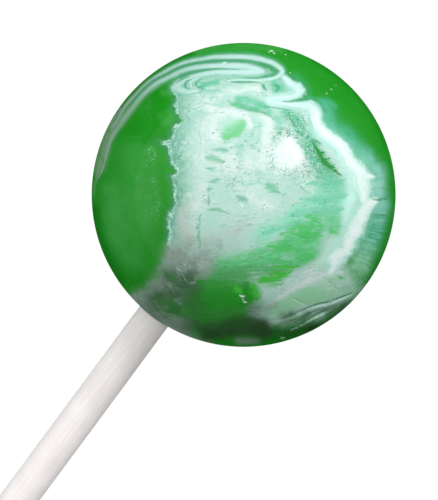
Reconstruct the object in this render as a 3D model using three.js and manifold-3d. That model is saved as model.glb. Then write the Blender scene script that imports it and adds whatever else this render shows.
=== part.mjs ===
// A swirl lollipop: a ball of hard boiled sugar on a rolled-paper stick, lying down as it rests on a table.
//
// Millimetres, +Z up. The ball lies at the +X end and the stick runs down towards -X until its tip meets the
// table. The origin is on the table, under the middle of the whole lollipop.

import * as THREE from "three";
import { mergeVertices } from "three/addons/utils/BufferGeometryUtils.js";
import Module from "manifold-3d";

const wasm = await Module();
wasm.setup();

// ---- driving dimensions ----
const ballDiameter = 34;
const stickDiameter = 4;
const stickLength = 100;
const stickBuried = 20; // how much of the stick is inside the ball
const restSpotDiameter = 6; // the ball is flat here, where it touches the table
const stickGap = 0.3; // between the stick and the hole it sits in

// Two creases that the warm sugar kept from its mould. Each is a shallow channel through three places on the
// ball, given by how far they turn about +Z from +X and how far down from +Z they lie, in degrees.
const creases = [
  [
    { turn: -132, down: 57 },
    { turn: -115, down: 60 },
    { turn: -96, down: 75 },
  ],
  [
    { turn: -125, down: 71.5 },
    { turn: -115, down: 68 },
    { turn: -107, down: 72 },
  ],
];
const creaseDepth = 0.35;
const creaseSectionRadius = 0.6; // of the round bar that cuts it
const creaseRunOut = 0.2; // how far clear of the ball the bar is at its ends

// ---- fineness of the facets ----
const ballSegments = 64;
const ballRings = 40;
const stickSegments = 32;
const creaseSteps = 28;
const creaseSides = 10;

// ---- sizes that follow ----
const ballRadius = ballDiameter / 2;
const stickRadius = stickDiameter / 2;
const stickReach = ballRadius + stickLength - stickBuried; // from the ball's centre to the stick's tip
const ballHeight = Math.sqrt(ballRadius ** 2 - (restSpotDiameter / 2) ** 2); // its centre, above the table
const ballCentre = new THREE.Vector3(0, 0, ballHeight);
const stickSlope = slopeToTable(ballHeight, stickReach, stickRadius);
const alongStick = new THREE.Vector3(-Math.cos(stickSlope), 0, -Math.sin(stickSlope)); // out of the ball

// The slope at which a stick that leaves a centre this high has the lower rim of its tip on the table:
// reach * sin(slope) + radius * cos(slope) = height.
function slopeToTable(height, reach, radius) {
  return Math.asin(height / Math.hypot(reach, radius)) - Math.atan2(radius, reach);
}

// ---- solids ----
function toSolid(geometry) {
  const bare = geometry.clone();
  bare.deleteAttribute("normal");
  bare.deleteAttribute("uv");
  const merged = mergeVertices(bare);
  return new wasm.Manifold(
    new wasm.Mesh({
      numProp: 3,
      vertProperties: new Float32Array(merged.getAttribute("position").array),
      triVerts: new Uint32Array(merged.index.array),
    }),
  );
}

function toGeometry(solid) {
  const { vertProperties, triVerts } = solid.getMesh();
  const indexed = new THREE.BufferGeometry();
  indexed.setAttribute("position", new THREE.BufferAttribute(vertProperties, 3));
  indexed.setIndex(new THREE.BufferAttribute(triVerts, 1));
  const faceted = indexed.toNonIndexed();
  faceted.computeVertexNormals();
  return faceted;
}

// A round bar on the stick's axis, between two distances from the ball's centre.
function barOnStickAxis(radius, from, to) {
  const bar = new THREE.CylinderGeometry(radius, radius, to - from, stickSegments);
  const itsOwnAxis = new THREE.Vector3(0, 1, 0);
  bar.applyQuaternion(new THREE.Quaternion().setFromUnitVectors(itsOwnAxis, alongStick));
  const middle = ballCentre.clone().addScaledVector(alongStick, (from + to) / 2);
  return bar.translate(middle.x, middle.y, middle.z);
}

// The hole that the stick sits in, open at the ball's skin.
function stickHole() {
  const bottom = ballRadius - stickBuried - stickGap;
  const wellOutside = ballRadius + stickDiameter;
  return barOnStickAxis(stickRadius + stickGap, bottom, wellOutside);
}

// The space below the table's top, which takes the ball's round underside off.
function belowTable() {
  return new THREE.BoxGeometry(ballDiameter, ballDiameter, ballDiameter).translate(0, 0, -ballRadius);
}

function directionFromCentre({ turn, down }) {
  const polar = THREE.MathUtils.degToRad(down);
  const azimuth = THREE.MathUtils.degToRad(turn);
  return new THREE.Vector3(
    Math.sin(polar) * Math.cos(azimuth),
    Math.sin(polar) * Math.sin(azimuth),
    Math.cos(polar),
  );
}

// The round bar that cuts one crease: deepest in its middle, and clear of the ball at both ends.
function creaseBar(places) {
  const onBall = new THREE.CatmullRomCurve3(places.map(directionFromCentre));
  const points = onBall.getPoints(creaseSteps / 2).map((direction, i, all) => {
    const fromMiddle = Math.abs((2 * i) / (all.length - 1) - 1);
    const depth = THREE.MathUtils.lerp(creaseDepth, -creaseRunOut, fromMiddle ** 2);
    const height = ballRadius + creaseSectionRadius - depth;
    return ballCentre.clone().addScaledVector(direction.normalize(), height);
  });
  const section = new THREE.Shape().absarc(0, 0, creaseSectionRadius, 0, 2 * Math.PI);
  return new THREE.ExtrudeGeometry(section, {
    curveSegments: creaseSides,
    steps: creaseSteps,
    extrudePath: new THREE.CatmullRomCurve3(points),
  });
}

// ---- the two pieces ----
function makeCandy() {
  const ball = new THREE.SphereGeometry(ballRadius, ballSegments, ballRings);
  ball.rotateX(Math.PI / 2).translate(ballCentre.x, ballCentre.y, ballCentre.z);
  let solid = toSolid(ball).subtract(toSolid(belowTable())).subtract(toSolid(stickHole()));
  for (const places of creases) {
    solid = solid.subtract(toSolid(creaseBar(places)));
  }
  const boiledSugar = new THREE.MeshStandardMaterial({ color: 0x2f9838, roughness: 0.2, metalness: 0 });
  const candy = new THREE.Mesh(toGeometry(solid), boiledSugar);
  candy.name = "candy";
  return candy;
}

function makeStick() {
  const bar = barOnStickAxis(stickRadius, ballRadius - stickBuried, stickReach);
  const rolledPaper = new THREE.MeshStandardMaterial({ color: 0xece8e4, roughness: 0.75, metalness: 0 });
  const stick = new THREE.Mesh(bar, rolledPaper);
  stick.name = "stick";
  return stick;
}

const lollipop = new THREE.Group();
lollipop.add(makeCandy(), makeStick());

// The origin goes under the middle of the whole.
const middleOfAll = new THREE.Box3().setFromObject(lollipop, true).getCenter(new THREE.Vector3());
lollipop.position.set(-middleOfAll.x, -middleOfAll.y, 0);

export default lollipop;
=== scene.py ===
# %% [markdown]
# # A swirl lollipop
# A ball of boiled sugar on a rolled-paper stick, lying on a pale table. Green and white sugar were folded
# into each other while warm, so the ball is marbled. The sizes come from a finished model, the frame, and
# this lesson makes everything that the eye sees: the glossy ball, its swirl, the paper and the light.

import math

import bmesh
import bpy
import numpy as np
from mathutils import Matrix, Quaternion, Vector


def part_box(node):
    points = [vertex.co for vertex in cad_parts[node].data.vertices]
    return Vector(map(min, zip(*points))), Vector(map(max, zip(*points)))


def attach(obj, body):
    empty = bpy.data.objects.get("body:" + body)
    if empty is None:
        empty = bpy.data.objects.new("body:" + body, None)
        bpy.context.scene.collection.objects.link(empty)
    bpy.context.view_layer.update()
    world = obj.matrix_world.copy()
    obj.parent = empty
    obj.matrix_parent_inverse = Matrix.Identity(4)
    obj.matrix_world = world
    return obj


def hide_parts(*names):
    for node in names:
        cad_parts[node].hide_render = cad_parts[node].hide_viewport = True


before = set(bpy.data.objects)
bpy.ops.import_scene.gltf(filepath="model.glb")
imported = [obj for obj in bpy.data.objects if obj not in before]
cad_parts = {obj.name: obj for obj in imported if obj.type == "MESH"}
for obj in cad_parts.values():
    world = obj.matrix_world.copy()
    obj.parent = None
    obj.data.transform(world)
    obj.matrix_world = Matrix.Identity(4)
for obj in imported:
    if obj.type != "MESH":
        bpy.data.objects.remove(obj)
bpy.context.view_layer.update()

# %% [markdown]
# ## Measure the frame
# Every size below is worked out from the boxes of the two nodes. The ball gives its own radius and centre.
# The stick is a straight round bar, so the middle of its box is the middle of the bar, and the line from
# the ball's centre to that middle is the stick's axis.

# %% Sizes of the ball and the stick
MM = 0.001

ball_low, ball_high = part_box("candy")
ball_radius = (ball_high.x - ball_low.x) / 2
ball_centre = Vector((ball_low.x + ball_radius, (ball_low.y + ball_high.y) / 2, ball_high.z - ball_radius))

stick_low, stick_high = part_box("stick")
stick_radius = (stick_high.y - stick_low.y) / 2
stick_middle = (stick_low + stick_high) / 2
along_stick = (stick_middle - ball_centre).normalized()
stick_length = (stick_high.x - stick_low.x - 2 * stick_radius * abs(along_stick.z)) / abs(along_stick.x)
stick_start = stick_middle - along_stick * stick_length / 2
stick_end = stick_middle + along_stick * stick_length / 2
print(f"ball {2 * ball_radius / MM:.1f} mm, stick {2 * stick_radius / MM:.1f} x {stick_length / MM:.1f} mm")

# %% [markdown]
# ## The camera
# The lollipop lies with its shown side up, so the camera looks straight down on it. Turning the camera
# about its own axis puts the stick at the lower left. The lens is long, as it is for a small thing on a
# table: the ball's outline then has to come out at the right number of pixels, and that fixes the focal
# length.

# %% Where the camera stands
IMAGE_WIDTH, IMAGE_HEIGHT = 438, 500
BALL_X_PX, BALL_Y_PX, BALL_RADIUS_PX = 243.6, 194.9, 152.0  # the ball in the image
STICK_DIP = math.radians(53.5)  # how far the stick points below the image's left
CAMERA_HEIGHT = 0.6  # above the ball's centre
SENSOR = 0.024

image_right = Vector((math.cos(STICK_DIP), -math.sin(STICK_DIP), 0))
image_up = Vector((math.sin(STICK_DIP), math.cos(STICK_DIP), 0))
focal_px = BALL_RADIUS_PX * math.sqrt(CAMERA_HEIGHT**2 - ball_radius**2) / ball_radius
metres_per_px = CAMERA_HEIGHT / focal_px

camera_data = bpy.data.cameras.new("camera")
camera_data.sensor_fit = "VERTICAL"
camera_data.sensor_height = SENSOR * 1000
camera_data.lens = focal_px / IMAGE_HEIGHT * SENSOR * 1000
camera_data.clip_start = 0.01
camera = bpy.data.objects.new("camera", camera_data)
camera.location = (
    ball_centre
    + image_right * (IMAGE_WIDTH / 2 - BALL_X_PX) * metres_per_px
    + image_up * (BALL_Y_PX - IMAGE_HEIGHT / 2) * metres_per_px
    + Vector((0, 0, CAMERA_HEIGHT))
)
camera.rotation_euler = (0, 0, -STICK_DIP)
bpy.context.collection.objects.link(camera)
bpy.context.scene.camera = camera
print(f"lens {camera_data.lens:.0f} mm, {1 / metres_per_px * MM:.2f} pixels per mm")

# %% [markdown]
# ## Places on the ball
# Someone who paints the ball looks at it from above, so a place on it is given as the camera sees it: so
# many millimetres right of the ball's centre, so many up, and so many out towards the eye.

# %% Turn mesh points into places
BALL_RADIUS_MM = ball_radius / MM


def points_of(mesh):
    """The points of a mesh, in metres, as rows of x, y and z."""
    flat = np.empty(len(mesh.vertices) * 3)
    mesh.vertices.foreach_get("co", flat)
    return flat.reshape(-1, 3)


def places_of(mesh):
    """The points of a mesh as rows of right, up and out, in millimetres from the ball's centre."""
    axes = np.array([image_right, image_up, (0, 0, 1)])
    return (points_of(mesh) - np.array(ball_centre)) @ axes.T / MM


# %% [markdown]
# ## The ball's mesh
# A globe of rings and segments crowds its faces at the poles. A cube whose faces are cut into a grid and
# then blown up to a ball has even, square faces. The finest detail is on the shown side, so the grid is
# then drawn up towards the top, where the faces come out smaller than below.

# %% Blow a cube up to a ball
GRID_CUTS = 121  # cuts along each edge of the cube
CROWDING = 0.38  # how much closer together the points are at the top


def crowd_to_top(direction):
    """A direction from the ball's centre, turned towards straight up."""
    polar = direction.angle(Vector((0, 0, 1)))
    flat = Vector((direction.x, direction.y, 0)).normalized()
    crowded = polar - CROWDING * math.sin(polar)
    return flat * math.sin(crowded) + Vector((0, 0, math.cos(crowded)))


def make_ball():
    bm = bmesh.new()
    bmesh.ops.create_cube(bm, size=2)  # from -1 to 1 along each axis
    bmesh.ops.subdivide_edges(bm, edges=bm.edges[:], cuts=GRID_CUTS, use_grid_fill=True)
    for vert in bm.verts:
        even = Vector([math.tan(c * math.pi / 4) for c in vert.co])
        vert.co = ball_centre + crowd_to_top(even.normalized()) * ball_radius
    mesh = bpy.data.meshes.new("sugar_ball")
    bm.to_mesh(mesh)
    bm.free()
    ball = bpy.data.objects.new("sugar_ball", mesh)
    bpy.context.collection.objects.link(ball)
    return ball


sugar_ball = make_ball()
print("ball:", len(sugar_ball.data.polygons), "faces")

# %% [markdown]
# ## Smooth paths
# The swirl and the creases are drawn as smooth curves through a few places. A Catmull-Rom curve goes
# through each of its points, so what we write down is what we get. Numpy measures every mesh point against
# a path at once.

# %% Draw a path and measure from it
PATH_STEPS = 6  # straight pieces from one point of a path to the next
SHORTEST_PIECE = 1e-12  # a path that stands still has pieces of no length, and nothing may be divided by 0


def smooth_path(points):
    """A smooth curve through the points, as many short straight pieces."""
    ends = np.array([points[0], *points, points[-1]], float)
    t = np.linspace(0, 1, PATH_STEPS, endpoint=False)[:, None]
    pieces = []
    for a, b, c, d in zip(ends, ends[1:], ends[2:], ends[3:]):
        bend = (2 * a - 5 * b + 4 * c - d) * t**2 + (3 * b - a - 3 * c + d) * t**3
        pieces.append(b + ((c - a) * t + bend) / 2)
    return np.vstack([*pieces, ends[-1:]])


def measure(path, places):
    """How far each place is from a path, and the share of the path that comes before its nearest point."""
    nearest = np.full(len(places), np.inf)
    share = np.zeros(len(places))
    for i, (start, end) in enumerate(zip(path, path[1:])):
        piece = end - start
        t = np.clip((places - start) @ piece / max(piece @ piece, SHORTEST_PIECE), 0, 1)
        distance = np.linalg.norm(places - start - t[:, None] * piece, axis=1)
        closer = distance < nearest
        nearest[closer] = distance[closer]
        share[closer] = (i + t[closer]) / (len(path) - 1)
    return nearest, share


def bell(distance, half_width):
    """1 on the line, falling off on both sides and next to nothing at 3 half widths."""
    return np.exp(-((distance / half_width) ** 2))


# %% [markdown]
# ## Relief
# Boiled sugar is cast soft, and it isn't quite a ball. Two creases run along the lower right, each a narrow
# channel with a rounded lip below it, and a few hairlines lie beside them. The sugar creeps a little way up
# the stick, and it is flat where it lies on the table. All of this is real shape: each point of the mesh
# moves along its own radius.

# %% Creases and hairlines, in millimetres
CREASES = [
    [(2.6, -14.0), (4.6, -13.7), (6.4, -12.95), (8.0, -12.3), (9.5, -12.0), (10.8, -11.5), (12.1, -11.0)],
    [(5.2, -15.1), (6.8, -14.2), (8.2, -13.4), (9.6, -12.8)],
]
CREASE_DEPTH = 0.2
CREASE_HALF_WIDTH = 0.2
CREASE_RUN_OUT = 1 / 4  # the share of a crease over which each of its ends fades
LIP_HEIGHT = 0.11
LIP_FROM_CREASE = 0.5
LIP_HALF_WIDTH = 0.35

HAIRLINES = [
    [(4.6, -11.0), (5.2, -11.3), (6.3, -11.9), (7.3, -12.45)],
    [(8.7, -9.1), (9.6, -9.9), (10.7, -10.9)],
    [(2.6, -12.3), (3.3, -12.7), (4.0, -13.1)],
]
HAIRLINE_DEPTH = 0.02
HAIRLINE_HALF_WIDTH = 0.14


def onto_ball(flat):
    """Lift a path on the drawing out to the ball's shown side."""
    out = np.sqrt(BALL_RADIUS_MM**2 - (flat**2).sum(axis=1))
    return np.column_stack([flat, out])


def crease_relief(places):
    """How far the creases and their lips raise each place, in millimetres."""
    raised = np.zeros(len(places))
    for points in CREASES:
        path = onto_ball(smooth_path(points))
        distance, share = measure(path, places)
        height_of_crease = np.interp(share, np.linspace(0, 1, len(path)), path[:, 1])
        below = np.sign(height_of_crease - places[:, 1])
        fade = np.clip(share / CREASE_RUN_OUT, 0, 1) * np.clip((1 - share) / CREASE_RUN_OUT, 0, 1)
        lip = LIP_HEIGHT * bell(distance * below - LIP_FROM_CREASE, LIP_HALF_WIDTH)
        raised += fade * (lip - CREASE_DEPTH * bell(distance, CREASE_HALF_WIDTH))
    for points in HAIRLINES:
        distance, _ = measure(onto_ball(smooth_path(points)), places)
        raised -= HAIRLINE_DEPTH * bell(distance, HAIRLINE_HALF_WIDTH)
    return raised


print("creases:", len(CREASES), "and hairlines:", len(HAIRLINES))

# %% Shape the ball
COLLAR_HEIGHT = 0.08 * MM
COLLAR_SPREAD = 0.7 * MM


def collar_relief(outward):
    """How far the sugar has crept up the stick, in metres."""
    axis = np.array(along_stick)
    from_stick = np.linalg.norm(np.cross(outward, axis), axis=1) * ball_radius - stick_radius
    return COLLAR_HEIGHT * (outward @ axis > 0) * bell(np.maximum(from_stick, 0), COLLAR_SPREAD)


def shape_ball(ball):
    """Move each point of the mesh along its radius, and press the underside flat on the table."""
    outward = (points_of(ball.data) - np.array(ball_centre)) / ball_radius
    radius = ball_radius + crease_relief(places_of(ball.data)) * MM + collar_relief(outward)
    moved = np.array(ball_centre) + outward * radius[:, None]
    moved[:, 2] = np.maximum(moved[:, 2], 0)
    ball.data.vertices.foreach_set("co", moved.ravel())
    ball.data.update()


shape_ball(sugar_ball)
print("lowest point", round(points_of(sugar_ball.data)[:, 2].min() / MM, 3), "mm")

# %% [markdown]
# ## The hole for the stick
# The sugar was poured round the stick, so the ball has a hole that fits it. A round bar, a hair wider than
# the stick, is taken away from the ball. A boolean modifier does that on any mesh, so the drill can be
# plain.

# %% Bore the hole
BORE_CLEARANCE = 0.04 * MM
BORE_SIDES = 96
BORE_REACH = 1.3  # the drill ends this many ball radii out from the centre, well clear of the ball
SHARP_CREASE = math.radians(50)  # faces that meet at more than this keep a sharp edge


def round_bar(name, radius, start, end):
    bm = bmesh.new()
    bmesh.ops.create_cone(
        bm, cap_ends=True, segments=BORE_SIDES, radius1=radius, radius2=radius, depth=(end - start).length
    )
    turn = Vector((0, 0, 1)).rotation_difference(end - start)
    for vert in bm.verts:
        vert.co = (start + end) / 2 + turn @ vert.co
    mesh = bpy.data.meshes.new(name)
    bm.to_mesh(mesh)
    bm.free()
    bar = bpy.data.objects.new(name, mesh)
    bpy.context.collection.objects.link(bar)
    return bar


def bore(ball):
    bottom = stick_start - along_stick * BORE_CLEARANCE
    well_outside = ball_centre + along_stick * ball_radius * BORE_REACH
    drill = round_bar("drill", stick_radius + BORE_CLEARANCE, bottom, well_outside)
    cut = ball.modifiers.new("bore", "BOOLEAN")
    cut.operation = "DIFFERENCE"
    cut.object = drill
    bored = bpy.data.meshes.new_from_object(ball.evaluated_get(bpy.context.evaluated_depsgraph_get()))
    ball.modifiers.clear()
    ball.data = bored
    bpy.data.objects.remove(drill)
    bored.shade_smooth()
    bored.set_sharp_from_angle(angle=SHARP_CREASE)


bore(sugar_ball)
print("bored ball:", len(sugar_ball.data.vertices), "points")

# %% [markdown]
# ## How the swirl is drawn
# A shader could hold the whole swirl as sums, but a fold that doubles back on itself is hard to write that
# way. So the large shapes are drawn as strokes on the shown side, and every point of the mesh stores how
# deep inside each kind of stroke it lies. The stored number changes smoothly from point to point. The
# shader turns it into a crisp edge, and noise added to it first makes that edge as ragged as real sugar.
#
# The hidden side gets the same strokes turned half round the stick's axis and twisted about the middle.
# Both sides die out just past the ball's outline.

# %% The two sides of the ball
STICK_IN_IMAGE = np.array([along_stick @ image_right, along_stick @ image_up])
STICK_IN_IMAGE /= np.linalg.norm(STICK_IN_IMAGE)
BACK_TWIST = math.radians(40)
SHOWN_SIDE_FADE = 5.0  # how far past the outline the shown side's strokes reach, in millimetres
BACK_SIDE_FADE = 6.0  # and over how long a way the hidden side's strokes come up


def back_places(places):
    """Where the hidden side's points fall on the drawing: turned about the stick, then twisted."""
    flat = places[:, :2]
    turned = 2 * (flat @ STICK_IN_IMAGE)[:, None] * STICK_IN_IMAGE - flat
    from_middle = np.linalg.norm(turned, axis=1) / BALL_RADIUS_MM
    angle = BACK_TWIST * (1 - np.clip(from_middle, 0, 1) ** 2)
    cos, sin = np.cos(angle), np.sin(angle)
    return np.stack([cos * turned[:, 0] - sin * turned[:, 1], sin * turned[:, 0] + cos * turned[:, 1]], 1)


def on_both_sides(field, places, outside):
    """A field of the drawing on both sides of the ball. Past the rim it sinks to the outside value."""
    out = places[:, 2]
    shown_sinks = np.clip(-out / SHOWN_SIDE_FADE, 0, 1)
    back_sinks = np.clip(1 + out / BACK_SIDE_FADE, 0, 1)
    shown = outside + (field(places[:, :2]) - outside) * (1 - shown_sinks)
    back = outside + (field(back_places(places)) - outside) * (1 - back_sinks)
    return np.maximum(shown, back)


# %% Fields that strokes make
FAR_OUTSIDE = -4.0
BELL_REACH = 3  # half widths from a line, beyond which its bell is as good as 0


def near(path, reach, flat):
    """Which places are near enough to a path to be worth measuring."""
    return np.all((flat > path.min(0) - reach) & (flat < path.max(0) + reach), axis=1)


def depth_in_strokes(strokes):
    """1 along the middle of a stroke, 0 at its edge and below 0 outside it."""

    def field(flat):
        depth = np.full(len(flat), FAR_OUTSIDE)
        for half_widths, points in strokes:
            widths = np.atleast_1d(half_widths)
            path = smooth_path(points)
            close = near(path, widths.max() * (1 - FAR_OUTSIDE), flat)
            distance, share = measure(path, flat[close])
            width = np.interp(share, np.linspace(0, 1, len(widths)), widths)
            depth[close] = np.maximum(depth[close], 1 - distance / width)
        return depth

    return field


def wash(strokes):
    """0 to 1: how much of a colour that has no edge lies at each place. A stroke gives its own strength."""

    def field(flat):
        clear = np.ones(len(flat))
        for strength, half_width, points in strokes:
            path = smooth_path(points)
            close = near(path, BELL_REACH * half_width, flat)
            distance, _ = measure(path, flat[close])
            clear[close] *= 1 - strength * bell(distance, half_width)
        return 1 - clear

    return field


def inside(outline, flat):
    """Whether each place is inside a closed outline, by counting the sides that lie to its right."""
    odd = np.zeros(len(flat), bool)
    for (x0, y0), (x1, y1) in zip(outline, np.roll(outline, -1, axis=0)):
        if y0 != y1:
            crosses = (flat[:, 1] > min(y0, y1)) & (flat[:, 1] <= max(y0, y1))
            odd ^= crosses & (flat[:, 0] < x0 + (flat[:, 1] - y0) * (x1 - x0) / (y1 - y0))
    return odd


def depth_in_outline(points):
    """How far inside a closed outline each place is, in millimetres, and below 0 outside it."""
    outline = smooth_path([*points, points[0]])

    def field(flat):
        distance, _ = measure(outline, flat)
        return np.clip(np.where(inside(outline, flat), distance, -distance), FAR_OUTSIDE, -FAR_OUTSIDE)

    return field


# %% [markdown]
# ## The drawing
# The swirl is now drawn in millimetres right of and above the ball's centre. A shape with an edge is a
# stroke: its half widths from end to end, and the points it goes through. A colour without an edge is a
# wash: how strong it is, its half width and its points. Each is stored on the mesh, under its own name, as
# soon as it is drawn.

# %% Draw on the ball
ball_places = places_of(sugar_ball.data)
place_of_each = sugar_ball.data.attributes.new("place", "FLOAT_VECTOR", "POINT")
place_of_each.data.foreach_set("vector", ball_places.ravel())


def draw(name, field, outside):
    """Keep one number for each point of the mesh, under a name that the shader can read."""
    values = on_both_sides(field, ball_places, outside)
    numbers = sugar_ball.data.attributes.new(name, "FLOAT", "POINT")
    numbers.data.foreach_set("value", values.astype(np.float32))
    print(f"{name}: on {np.mean(values > 0):.1%} of the points")


def draw_strokes(name, *strokes):
    draw(name, depth_in_strokes(strokes), FAR_OUTSIDE)


def draw_wash(name, *strokes):
    draw(name, wash(strokes), 0)


# %% Outline of the milky sugar, clockwise from the left end of the folds at the top
MILKY_OUTLINE = [
    (-8.2, 11.8), (-7.6, 12.3), (-6.7, 12.9), (-6.0, 13.3), (-5.0, 13.8), (-4.0, 14.3), (-2.0, 14.8),
    (0.0, 14.85), (1.5, 14.6), (2.6, 14.2), (3.4, 13.7), (4.0, 13.3), (4.8, 13.0), (5.4, 12.4),
    (6.35, 12.0), (6.8, 11.25), (6.4, 10.65), (5.2, 10.4), (5.0, 10.25), (6.2, 10.1), (7.4, 10.1),
    (8.1, 9.7), (8.5, 9.0), (8.5, 8.2), (8.8, 7.4), (9.6, 6.8), (10.8, 6.1), (11.6, 5.3), (12.2, 4.3),
    (12.8, 3.4), (13.6, 2.6), (14.5, 1.9), (14.2, 0.9), (13.9, 0.0), (14.4, -0.7), (14.2, -1.6),
    (13.5, -3.2), (13.0, -4.6), (12.3, -6.0), (11.3, -7.2), (11.6, -8.4), (12.8, -9.6), (13.2, -10.4),
    (12.4, -11.6), (10.6, -12.6), (8.8, -13.6), (6.8, -14.2), (4.5, -14.4), (2.5, -14.3), (0.8, -13.4),
    (1.6, -12.2), (1.4, -10.6), (-0.5, -9.1), (-3.5, -8.7), (-5.0, -9.2), (-6.4, -10.2), (-6.8, -12.0),
    (-7.6, -13.8), (-7.6, -15.2), (-10.0, -13.9), (-12.4, -11.8), (-10.8, -11.2), (-10.2, -10.4),
    (-9.5, -9.6), (-9.0, -8.8), (-8.8, -7.8), (-8.6, -6.6), (-8.5, -5.4), (-8.4, -4.0), (-8.45, -2.3),
    (-8.0, -1.6), (-7.75, -0.8), (-7.8, 0.4), (-8.0, 1.3), (-8.2, 1.9), (-7.55, 2.3), (-8.1, 3.4),
    (-8.2, 4.3), (-8.5, 5.1), (-9.3, 5.75), (-8.2, 5.95), (-8.1, 6.6), (-7.7, 7.4), (-7.1, 8.0),
    (-7.6, 9.0), (-7.9, 9.9), (-7.6, 10.6), (-7.9, 11.2),
]
draw("milky", depth_in_outline(MILKY_OUTLINE), FAR_OUTSIDE)

# %% [markdown]
# ## Folds and ribbons
# Where the sugar was pulled and folded back on itself, pale bands double round at the top and a thick white
# ribbon runs down the right. Thin threads of green are left between the folds. All are strokes, because
# each keeps its own edge, and a stroke can swell and thin out along its way as pulled sugar does.

# %% White ribbons
draw_strokes(
    "ribbon",
    ((0.12, 0.2, 0.28, 0.26, 0.18, 0.14, 0.16, 0.18, 0.2, 0.26, 0.36),
     [(4.4, 12.85), (4.8, 12.5), (5.25, 12.1), (5.85, 11.75), (6.05, 11.2), (5.7, 10.8), (4.8, 10.6),
      (3.8, 10.5), (3.0, 10.4), (2.7, 10.2), (3.1, 10.0), (4.0, 9.9), (5.2, 9.75), (6.3, 9.75), (7.1, 9.75),
      (7.5, 9.5), (7.75, 9.2)]),
    ((0.3, 0.36, 0.36, 0.36, 0.38, 0.43, 0.48),
     [(7.65, 9.4), (7.95, 8.9), (7.95, 8.2), (8.15, 7.6), (8.55, 6.95), (9.3, 6.3), (10.2, 5.7),
      (10.8, 5.0), (11.3, 4.2), (11.8, 3.4), (12.5, 2.7), (12.85, 2.1)]),
    ((0.5, 0.5, 0.45, 0.35, 0.2), [(12.8, 2.2), (12.8, 1.5), (13.1, 0.7), (13.2, 0.1), (13.1, -0.7)]),
    ((0.3, 0.1), [(13.4, 2.0), (14.3, 1.9)]),
    ((0.3, 0.38, 0.42, 0.45, 0.42, 0.3),
     [(14.2, -0.8), (13.4, -1.5), (12.85, -2.65), (12.4, -3.75), (11.8, -4.9), (11.3, -6.0)]),
    ((0.25, 0.42, 0.4, 0.25, 0.15), [(11.1, -6.2), (10.4, -6.7), (10.0, -7.2), (9.8, -8.0), (9.4, -8.6)]),
)

# %% Pale bands folded along the top
draw_strokes(
    "band",
    ((0.04, 0.12, 0.17, 0.22, 0.26, 0.3, 0.26, 0.14, 0.08),
     [(-14.7, 7.3), (-14.3, 7.8), (-13.6, 9.0), (-12.95, 10.05), (-11.95, 11.15), (-10.85, 12.25),
      (-9.75, 13.0), (-8.4, 13.8), (-7.1, 14.4), (-5.75, 14.75), (-4.4, 14.95), (-3.1, 15.15),
      (-0.4, 15.15), (0.9, 15.05), (2.2, 14.8), (3.5, 14.25), (4.2, 13.6), (3.9, 13.05), (3.0, 12.65),
      (1.6, 12.45), (-0.4, 12.5), (-1.8, 12.4)]),
    ((0.03, 0.06, 0.09, 0.14, 0.22, 0.26, 0.25, 0.27, 0.3, 0.32, 0.34, 0.3, 0.2),
     [(-16.4, 1.5), (-15.8, 2.4), (-15.4, 3.6), (-15.1, 4.8), (-14.8, 5.9), (-14.2, 7.0), (-13.5, 7.95),
      (-12.8, 9.0), (-12.05, 10.0), (-11.15, 11.1), (-9.8, 12.2), (-8.4, 12.95), (-7.05, 13.5),
      (-5.75, 13.95), (-4.4, 14.1), (-3.1, 14.15), (-0.4, 14.15), (0.9, 13.9), (1.7, 13.7)]),
    ((0.25, 0.3, 0.28, 0.26, 0.26, 0.3, 0.38, 0.42, 0.28, 0.1),
     [(2.0, 13.5), (0.9, 13.4), (-0.4, 13.4), (-1.8, 13.4), (-3.1, 13.4), (-4.4, 13.2), (-5.7, 12.95),
      (-6.8, 12.5), (-7.4, 12.0), (-7.2, 11.55), (-6.2, 11.25), (-5.0, 11.3)]),
    ((0.06, 0.2, 0.06), [(-4.9, 12.8), (-5.85, 12.3), (-5.7, 11.6)]),
)

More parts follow.
